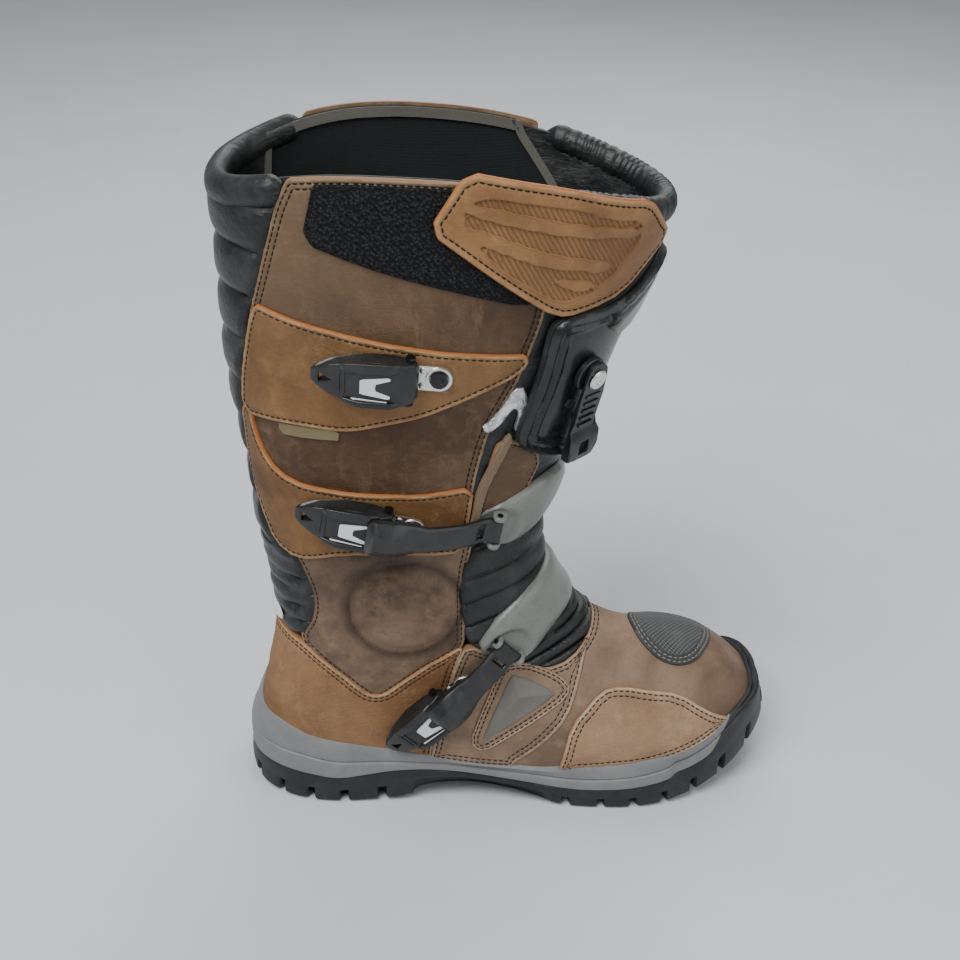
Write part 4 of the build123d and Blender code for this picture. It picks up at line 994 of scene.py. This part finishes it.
def upper_edge(z):
    """How far outside the plan, or inside it, the boot's upper stands at each plan point and height."""
    places = boot.places.reshape(-1, 3)
    found = np.zeros(PLAN_POINTS)
    for k in range(PLAN_POINTS):
        near = places[np.abs(places[:, 2] - z[k]) < 2.5]
        flat = near[:, :2] - plan[k]
        beside = np.abs(flat[:, 0] * -plan_out[k, 1] + flat[:, 1] * plan_out[k, 0]) < 4.0
        found[k] = (flat[beside] @ plan_out[k]).max() if beside.any() else -9.0
    for _ in range(12):
        found = (np.roll(found, 1) + 2 * found + np.roll(found, -1)) / 4
    return np.clip(found, -30, 3)


LUG_PITCH, NOTCH_DEEP, GUTTER_DEEP = 23.0, 4.8, 4.2


def make_sole():
    x = plan[:, 0]
    top, middle, ground = line_at(SOLE_TOP, x), line_at(TREAD_TOP, x) + 0.3, line_at(GROUND, x)
    tall = top - middle
    step = np.clip(tall * 0.45, 2.5, 14)
    ledge = middle + step
    lip = np.minimum(upper_edge(top) + 2.2, -0.2)
    lean = np.minimum(upper_edge(middle) + 3.2, 0) * smoothstep((x - 205) / 40)  # the toe's rubber hugs the upper
    waistline = top - (tall - step) * 0.45
    belly, shelf = upper_edge(waistline) + 2.0, upper_edge(ledge) + 1.6
    rings = [(lip - 6, top - 5), (lip - 2.6, top - 0.8), (lip - 1.4, top), (lip - 0.5, top - 0.3), (lip, top - 1.2),
             (np.maximum(lip * 0.6 + lean, belly), waistline),
             (np.maximum(lip * 0.25 + 0.1 + lean, shelf), ledge + 1.2),
             (lean - 0.1, ledge + 0.3), (lean - 0.9, ledge), (lean - 0.9, ledge - 0.6), (lean + 0.5, ledge - 1.4),
             (lean + 0.9, middle + step * 0.5), (lean + 0.7, middle + 0.2), (lean, middle), (lean - 14, middle)]
    swept("midsole_rubber", "midsole", [(out, z, 1) for out, z in rings], midsole_rubber)
    # the wall's lugs: blocks that stand out towards the ground, cut by notches round the heel and the forefoot
    waist = smoothstep((x - 50) / 8) * smoothstep((140 - x) / 10)
    tread = 1 - waist
    share = ((plan_run + 9 * np.sin(plan_run / 37)) / LUG_PITCH) % 1.0
    notch = smoothstep((np.abs(share - 0.5) * 2 - 0.76) / 0.10) * tread
    rings = [(lean - 12, middle - 0.5, 1), (lean - 0.4, middle - 0.4, 1), (lean + 0.2, middle - 1.0, 1)]
    for level in np.linspace(0.12, 0.92, 9):
        low = smoothstep((level - 0.50) / 0.14)
        belly = smoothstep(level / 0.3) - low
        lugs = 1.4 * low * (1 - notch) - 3.2 * low * notch * tread - 1.8 * waist * low
        rings.append((0.2 + lean * (1 - level) ** 1.6 + 0.9 * belly + lugs, middle - (middle - ground) * level, 1))
    rings += [(0.9 - 4.4 * notch, ground + 0.9, 1), (0.0 - NOTCH_DEEP * notch, ground + GUTTER_DEEP * notch, 1)]
    for inward in np.linspace(0.97, 0.0, 34):
        block = np.mod(inward * 5 + 0.35 * np.sin(plan_run / 23), 1.0)
        gutter = smoothstep((np.abs(block - 0.5) * 2 - 0.70) / 0.14) * (inward > 0.12)
        cross = notch * (inward > 0.45)
        arch = waist * (2 + 3 * (1 - inward))
        rings.append((0, ground + GUTTER_DEEP * np.maximum(gutter, cross) * tread + arch, inward))
    swept("outsole_rubber", "outsole", rings + [(0, middle - 0.5, 0.0)], outsole_rubber, 40)


make_sole()

# ---------------------------------------------------------------- buckles
PIVOTS = {"upper": (60, 291), "mid": (46, 203), "instep": (76, 76)}
ANCHORS = {"upper": (100, 288), "mid": (100, 193), "instep": (110, 108)}
SEATS = {"upper": 2.3, "mid": 2.3, "instep": 0.3}
ANCHOR_HEIGHT, LEVER_TOP, LEVER_HALF = 6.9, 11.6, 12.0
STRAP_HALF, HEAD_HALF, SHIN_FACE = 7.5, 10.5, 7.6
STRAP_POST, STRAP_LENGTH = (143, 283), 52.0



class Frame:
    """A buckle's own axes: x towards the strap's anchor, y across, z out from the boot."""

    def __init__(self, origin, x_dir, z_dir):
        self.origin, self.x, self.z = origin, x_dir, z_dir
        self.y = np.cross(z_dir, x_dir)

    def out(self, points):
        p = np.asarray(points, float)
        return self.origin + p[..., :1] * self.x + p[..., 1:2] * self.y + p[..., 2:3] * self.z

    def back(self, point):
        d = np.asarray(point) - self.origin
        return d @ self.x, d @ self.y, d @ self.z


def buckle_frame(name):
    (x, z), (ahead_x, ahead_z) = PIVOTS[name], ANCHORS[name]
    heading = unit(np.array([ahead_x - x, 0, ahead_z - z], float))
    place, _ = surface_at(x, z)
    _, out = surface_at(x - 14 * heading[0], z - 14 * heading[2])
    return Frame(place + out * SEATS[name], unit(heading - out * (heading @ out)), out)


def strap_frame():
    place, out = surface_at(*STRAP_POST)
    down = np.array([0.0, 0.0, -1.0])
    return Frame(place + out * SHIN_FACE, unit(down - out * (down @ out)), out)


def solid(name, frame, shape, material, body, bevel=0.5, sharp=30, replaces=(), cut=None):
    """A piece in a buckle's frame from its points and faces, cut by a hidden solid, its edges bevelled."""
    points, faces = shape
    obj = to_object(name, frame.out(points), faces, material, sharp=sharp)
    if cut is not None:
        hole = obj.modifiers.new("hole", "BOOLEAN")
        hole.object, hole.operation, hole.solver = cut, "DIFFERENCE", "EXACT"
    if bevel:
        rounded = obj.modifiers.new("bevel", "BEVEL")
        rounded.width, rounded.segments, rounded.limit_method = bevel * MM, 2, "ANGLE"
        rounded.angle_limit = math.radians(28)
    if cut is not None:
        bpy.context.view_layer.update()
        shaped = bpy.data.meshes.new_from_object(obj.evaluated_get(bpy.context.evaluated_depsgraph_get()))
        obj.modifiers.clear()
        obj.data = shaped
        bpy.data.objects.remove(cut)
    carry(obj, body, replaces)


def across(profile, stations, taper=lambda x: 1.0):
    """Points and faces of a side profile swept across, each station a y and an inset of the profile."""
    profile = np.asarray(profile, float)
    middle = profile.mean(0)
    points = []
    for y, inset in stations:
        shrunk = middle + (profile - middle) * (1 - inset)
        points += [(x, y * taper(px), z) for (x, z), px in zip(shrunk, profile[:, 0])]
    return points, tube(len(stations), len(profile))


def upright(outline, low, high):
    """Points and faces of a plan outline between two heights."""
    return [(x, y, z) for z in (low, high) for x, y in outline], tube(2, len(outline))


def box(x, length, half, low, high):
    """Points and faces of a block that starts at x, as wide on both sides of the frame's middle."""
    return upright([(x, -half), (x + length, -half), (x + length, half), (x, half)], low, high)


def cutter(frame, shape):
    """A hidden solid that cuts a hole and is then removed."""
    obj = to_object("cutter", frame.out(shape[0]), shape[1], black_plastic)
    obj.hide_render = True
    return obj


def lever_taper(x):
    return float(np.interp(x, (-47, -44, -36, -24, -10, 4), (0.34, 0.52, 0.80, 0.97, 1.0, 0.93)))


LEVER_PROFILE = [(3.4, 2.4), (4.4, 5.0), (3.2, 8.6), (-2, LEVER_TOP), (-14, LEVER_TOP), (-30, LEVER_TOP - 0.6),
                 (-39, 9.0), (-44.5, 6.6), (-47, 4.6), (-45.6, 3.0), (-38, 1.8), (-22, 1.0), (-6, 0.9)]
RAIL_PROFILE = [(-4, 11.2), (-8, 13.4), (-24, 13.6), (-31, 12.0), (-33, 10.0), (-30, 8.4), (-6, 8.8)]
FORK_HALF = [(-23, 3.4), (-21.4, 4.0), (-9.6, 5.8), (-8.6, 5.2), (-8.6, 4.4), (-15.4, 2.0)]
FORK = [(x, -y) for x, y in FORK_HALF] + [(-15.8, 0)] + FORK_HALF[::-1]
BLADE = [(-25, -7.6), (-10, -8.2), (-10, -7.4), (-27, -6.6)]
BADGE_SHIFT = -1.2


def make_lever(name, frame):
    body, end = f"{name}_lever", LEVER_HALF - 0.7
    stations = [(-LEVER_HALF, 0.16), (-end, 0.05), (-8.6, 0), (-2.8, 0.0), (2.8, 0.0), (8.6, 0), (end, 0.05),
                (LEVER_HALF, 0.16)]
    hole = cutter(frame, upright([(-43, -2.8), (-36.5, 0), (-43, 2.8)], -4, 20))
    solid(f"{name}_lever_body", frame, across(LEVER_PROFILE, stations, lever_taper), black_plastic, body, 0.45,
          replaces=[body], cut=hole)
    for side, low, high in (("left", 6.9, LEVER_HALF + 0.2), ("right", -LEVER_HALF - 0.2, -9.2)):
        stations = [(low, 0.10), (low + 0.8, 0), (high - 0.8, 0), (high, 0.10)]
        solid(f"{name}_lever_rail_{side}", frame, across(RAIL_PROFILE, stations, lever_taper), black_plastic, body, 0.4)
    for k, (x, half) in enumerate(((-31.0, 6.4), (-33.4, 5.6))):
        solid(f"{name}_lever_grip_{k}", frame, box(x, 0.9, half, 6.0, 11.6 - 0.7 * k), black_plastic, body, 0.25)
    fork, blade = moved(FORK, 0, BADGE_SHIFT), moved(BLADE, 0, BADGE_SHIFT)
    solid(f"{name}_badge_fork", frame, upright(fork, LEVER_TOP - 0.5, LEVER_TOP + 0.7), badge_white, body, 0.2,
          replaces=[f"{name}_badge"])
    solid(f"{name}_badge_blade", frame, upright(blade, LEVER_TOP - 0.8, LEVER_TOP + 0.4), badge_white, body, 0.1)


def lathe(name, frame, x, y, profile, material, count=40, replaces=(), cut=None):
    """A turned piece standing on the frame's face at x, y: profile is radius and height from its axis outwards."""
    points = [(px, py, z) for radius, z in profile for px, py in circle(x, y, max(radius, 0.01), count)]
    solid(name, frame, (points, tube(len(profile), count)), material, "boot", 0, 40, replaces, cut)


def star(x, radius, inner, count=6):
    radii = [radius if k % 2 else inner for k in range(2 * count)]
    return [(x + r * math.cos(math.pi * k / count), r * math.sin(math.pi * k / count)) for k, r in enumerate(radii)]


EYE, RIVET = (14.0, 0), (6.2, 4.2)
EYE_RING = [(4.5, 1.5), (4.5, 1.9), (5.2, 2.3), (6.2, 2.2), (6.6, 1.5), (6.6, 0.2), (4.4, 0.2)]


def make_fittings(name, frame):
    lathe(f"{name}_eye_ring", frame, *EYE, EYE_RING, bright_steel)
    lathe(f"{name}_screw_head", frame, *EYE, [(4.2, 1.6), (4.2, 2.6), (3.9, 3.2), (3.2, 3.7), (0.01, 3.8)], black_screw,
          cut=cutter(frame, upright(star(EYE[0], 2.3, 1.6), 2.6, 6)))
    for side, y in (("left", RIVET[1]), ("right", -RIVET[1])):
        lathe(f"{name}_rivet_{side}", frame, RIVET[0], y, [(1.8, 1.4), (1.8, 1.9), (1.3, 2.4), (0.01, 2.6)],
              bright_steel, 24)


def strap_line(far, z):
    """The strap's middle line, from its head, over the lever and down to its hinge bar, as x, height, thickness."""
    return [(-9, 14.6, 1.6), (-4, 14.9, 4.6), (4, 14.0, 5.0), (10, 11.8, 5.2), (16, 9.3, 3.9), (22, 8.6, 3.2),
            ((22 + far) / 2, (8.6 + z) / 2 + 0.9, 3.0), (far - 6, z + 0.7, 3.0), (far, z + 0.2, 4.2),
            (far + 2.6, z + 0.2, 2.4)]


STRAP_SECTION = [(-1, -0.5), (-1, 0.15), (-0.86, 0.42), (-0.45, 0.5), (0.45, 0.5), (0.86, 0.42), (1, 0.15), (1, -0.5),
                 (0.5, -0.5), (-0.5, -0.5)]


def make_strap(name, frame):
    anchor, out = surface_at(*ANCHORS[name])
    far, _, height = frame.back(anchor + out * ANCHOR_HEIGHT)
    line = np.array(strap_line(far, height))
    dense = np.linspace(0, len(line) - 1, 46)
    xs, zs, ts = (np.interp(dense, range(len(line)), column) for column in line.T)
    for values in (zs, ts):
        values[1:-1] = (values[:-2] + 2 * values[1:-1] + values[2:]) / 4
    half = np.interp(xs, (-9, -7, 8, 16, 22, far + 4), (7.5, HEAD_HALF, HEAD_HALF, 8.6, STRAP_HALF, STRAP_HALF))
    crown = np.interp(xs, (-9, -5, 4, 14, 20), (0.0, 2.4, 2.8, 1.2, 0.0))
    points = [(x, u * w, z + v * t + (c if abs(u) < 0.5 and v > 0 else 0))
              for x, z, t, w, c in zip(xs, zs, ts, half, crown) for u, v in STRAP_SECTION]
    body = f"{name}_strap"
    solid(f"{body}_body", frame, (points, tube(len(xs), len(STRAP_SECTION))), black_plastic, body, 0, 24, [body],
          cutter(frame, box(far - 9.5, 3.0, 4.6, height - 6, 20)))
    for k in range(9):
        x = -2 + (far - 14) * (k + 2.2) / 12
        z = float(np.interp(x, xs, zs) - np.interp(x, xs, ts) / 2)
        if x > 20:
            solid(f"{body}_rung_{k}", frame, box(x - 0.8, 1.6, 5, z - 0.7, z + 0.3), black_plastic, body, 0.2)
    return far, height


def make_upper_strap(frame):
    """The strap that hangs open from the shin plate, its faceted head lowest."""
    profile = [(-8.4, 3.6), (-8.4, 5.8), (-6, 6.6), (8, 6.8), (26, 6.4), (32, 6.6), (36, 9.4), (44, 10.6), (50, 9.6),
               (STRAP_LENGTH, 7.4), (STRAP_LENGTH, 3.6), (20, 3.4)]
    half = lambda x: float(np.interp(x, (-8.4, -6, 0, 28, 34, 48, 52), (0.45, 0.7, 0.80, 0.72, 1.0, 1.0, 0.82)))
    end = HEAD_HALF - 1.2
    stations = [(-HEAD_HALF, 0.16), (-end, 0.02), (-4.5, 0), (4.5, 0), (end, 0.02), (HEAD_HALF, 0.16)]
    solid("upper_strap_body", frame, across(profile, stations, half), black_plastic, "upper_strap", 0.5,
          replaces=["upper_strap"], cut=cutter(frame, box(38, 8, 3.4, 7.6, 20)))
    for k in range(5):
        solid(f"upper_strap_rung_{k}", frame, box(9 + 4.6 * k, 1.8, 5, 6.0, 7.5), black_plastic, "upper_strap", 0.25)
    lathe("upper_strap_washer", frame, 0, 0, [(3.4, 0.3), (9.5, 0.3), (9.5, 2.4), (8.8, 3.0), (3.4, 3.0)],
          black_plastic, 48, ["upper_strap_mount"])
    lathe("upper_strap_rivet", frame, 0, 0, [(2.9, 0.3), (2.9, 7.0), (5.2, 7.0), (5.5, 7.5), (4.8, 8.3), (2.0, 8.6),
                                             (1.6, 8.2), (0.01, 8.1)], bright_steel, 40, ["upper_strap_post"])


frames = {name: buckle_frame(name) for name in PIVOTS}
for name, buckle in frames.items():
    make_lever(name, buckle)
    make_fittings(name, buckle)
anchors = {name: make_strap(name, frames[name]) for name in ("mid", "instep")}
make_upper_strap(strap_frame())

# ---- grey brackets that the straps hinge on ----
MEDIAL_END = 26.0
side_end = MEDIAL_END - form.places[..., 1]
BRACKETS = {"mid": [(90, 203), (92, 184), (108, 177), (126, 184), (141, 204), (137, 218), (120, 214), (104, 208)],
            "instep": [(93, 118), (97, 104), (112, 93), (126, 101), (136, 114), (165, 126), (150, 152), (124, 144),
                       (108, 134)]}


def bracket_height(name):
    anchor_x, anchor_z = ANCHORS[name]

    def height(patch):
        d = patch.fields["edge"]
        far = np.hypot(patch.places[:, 0] - anchor_x, patch.places[:, 2] - anchor_z)
        arch = 4.4 * np.sqrt(np.clip(1 - (1 - np.clip(d / 9, 0, 1)) ** 2, 0, 1))
        seat = 3.0 * (1 - smoothstep((far - 10.5) / 5)) * smoothstep(d / 3)
        bead = 0.5 * np.exp(-((far - 13.0) / 1.8) ** 2) * smoothstep((d - 1.0) / 3)
        return 1.6 + arch - seat + bead
    return height


for name, outline in BRACKETS.items():
    panel(f"{name}_bracket_arch", np.minimum(side_field(outline, soft=3, grid=form), side_end), 0.3,
          bracket_height(name), grey_plastic, [f"{name}_bracket"], edge_radius=1.6, sharp=50, grid=form)
    far, height = anchors[name]
    ear = moved([(-3.6, -9), (-3.6, 0), (-2.4, 2.8), (0, 3.6), (2.4, 2.8), (3.6, 0), (3.6, -9)], far, height)
    near, beyond = STRAP_HALF + 0.4, STRAP_HALF + 2.8
    for side, ends in (("left", (near, beyond)), ("right", (-beyond, -near))):
        solid(f"{name}_bracket_ear_{side}", frames[name], across(ear, [(y, 0) for y in ends]), grey_plastic, "boot")

# ---- shin plate ----
SHIN_OUTLINE = [(127, 317), (121, 283), (112, 256), (110, 246), (124, 235), (142, 225), (240, 232), (240, 346),
                (190, 345), (160, 320)]
SHIN_WING = [(158, 300), (196, 338), (176, 336), (150, 312)]
WING_EDGE = [(152, 306), (158, 300), (197, 339), (190, 340)]
shin_field = np.minimum(side_field(SHIN_OUTLINE, grid=form), side_end)
panel("shin_pad_rubber", shin_field, 0.9, 4.7, soft_rubber, ["shin_pad"], grid=form)


def welted(patch):
    d = patch.fields["edge"]
    beads = 3.0 * np.exp(-((d - 2.6) / 1.7) ** 2) + 2.2 * np.exp(-((d - 8.0) / 1.5) ** 2)
    wing = 2.6 * smoothstep(patch.fields["wing"] / 2.5)
    return np.minimum(5.8 + 0.6 * smoothstep((d - 10) / 6) + beads + wing, 9.6)


panel("shin_plate_shell", shin_field, 4.8, welted, shin_plastic, ["shin_plate"], sharp=45,
      extra={"wing": outer(SHIN_WING, grid=form)}, edge_radius=1.2, grid=form,
      cuts=[("edge", d) for d in (2.6, 4.6, 6.4, 8.0, 9.8, 11.5)] + [("wing", d) for d in (0.0, 1.2, 2.5)])
panel("shin_wing_edge", outer(WING_EDGE, grid=form), 5.0, 9.7, grey_plastic, edge_radius=1.0, grid=form)
for n, corner in enumerate(((137, 258), (133, 268))):
    slot = moved([(0, 0), (5, -1), (5, -6), (0, -5)], *corner)
    panel(f"shin_plate_slot_{n}", outer(slot, soft=0, grid=form), 6.0, 6.9, soft_rubber, edge_radius=0.4, grid=form)

# ---- flap, on its fold ----
FLAP = [(69, 366), (86, 393), (128, 384), (157, 375), (170, 372), (176, 362), (182, 349), (160, 324), (138, 318),
        (127, 319), (102, 339)]
STAMPED = [(83, 372), (92, 382), (128, 375), (160, 366), (168, 357), (153, 335), (137, 327), (127, 327), (100, 347)]
RIDGES = [[(84, 379), (92, 378), (130, 367), (166, 359), (164, 355), (128, 362), (88, 373)],
          [(80, 367), (90, 367), (124, 352), (154, 343), (151, 339), (121, 347), (86, 362)],
          [(138, 371), (150, 372), (168, 366), (164, 362)], [(124, 341), (146, 335), (143, 331), (132, 333)]]
HOOKS = [(76, 366), (90, 386), (128, 377), (140, 374), (130, 328), (104, 345)]
FOLD = ("boot", "flap", (0.1525, -0.05, 0.3453), (0.1415, -0.05, 0.3497))
ridges = np.max([to_outline(x_map, z_map, softened(o, 1)) for o in RIDGES], 0)
stamped = boot.true_distance(np.minimum(to_outline(x_map, z_map, softened(STAMPED, 1)), -ridges))
panel("flap_leather", outer(FLAP), 3.2, raised(5.6, ("stamp", -0.9, 0.9)), leather_flap, ["flap", "flap_root"],
      seams=(3.4,), thread="black", extra={"stamp": stamped}, edge_radius=1.2, cuts=(("stamp", 0.0), ("stamp", 0.9)),
      painted=("stamp",), body=FOLD)
panel("flap_hook_tape", outer(HOOKS), 2.3, 3.3, pile, edge_radius=0.5, body=FOLD)

# ---- stitches, one mesh for each thread and body ----
for (shade, body), (points, faces) in threads.items():
    where = body if isinstance(body, str) else "fold"
    carry(to_object(f"stitches_{shade}_{where}", points, faces, THREADS[shade], sharp=80), body)

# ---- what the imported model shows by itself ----
CAD_LOOKS = {bright_steel: ["upper_base_plate", "mid_base_plate", "instep_base_plate", "shank"],
             black_screw: ["buckle_screws", "lever_pins", "strap_pins"], soft_rubber: ["footbed"],
             binding_cloth: ["insole_board"],
             guard_rubber: ["heel_counter", "toe_cap", "ankle_guard_outer", "ankle_guard_inner"]}
for look, nodes in CAD_LOOKS.items():
    for node in nodes:
        frame["nodes"][node].data.materials.clear()
        frame["nodes"][node].data.materials.append(look)


FLOOR_CELLS, FLOOR_SIZE = 220, 9.0  # size in metres


def make_floor():
    """Pale cotton sheet with soft folds, laid under the boot."""
    points, side = [], FLOOR_CELLS + 1
    for j in range(side):
        for i in range(side):
            x, y = (i / FLOOR_CELLS - 0.5) * FLOOR_SIZE + 0.1, (j / FLOOR_CELLS - 0.30) * FLOOR_SIZE
            lift = 0.006 * noise.noise(Vector((x * 3, y * 3, 1))) + 0.0025 * noise.noise(Vector((x * 11, y * 9, 4)))
            near = min(1.0, max(0.0, (math.hypot(x - 0.1, y) - 0.2) / 0.3))
            points.append((x / MM, y / MM, ((lift - 0.001) * near - 0.0006) / MM))
    corners = [j * side + i for j in range(FLOOR_CELLS) for i in range(FLOOR_CELLS)]
    faces = [(a, a + 1, a + side + 1, a + side) for a in corners]
    look = Look("pale_sheet", roughness=0.9, specular=0.2)
    weave = look.times(look.waves(500, "X"), look.waves(500, "Y"))
    color = look.mix(look.noise(6, 6, 0.6), (0.56, 0.57, 0.60), (0.66, 0.67, 0.69))
    floor = to_object("floor", points, faces, look.finish(color, None, look.bump(weave, 0.0002, 0.3)))


make_floor()
make_camera()
make_studio()
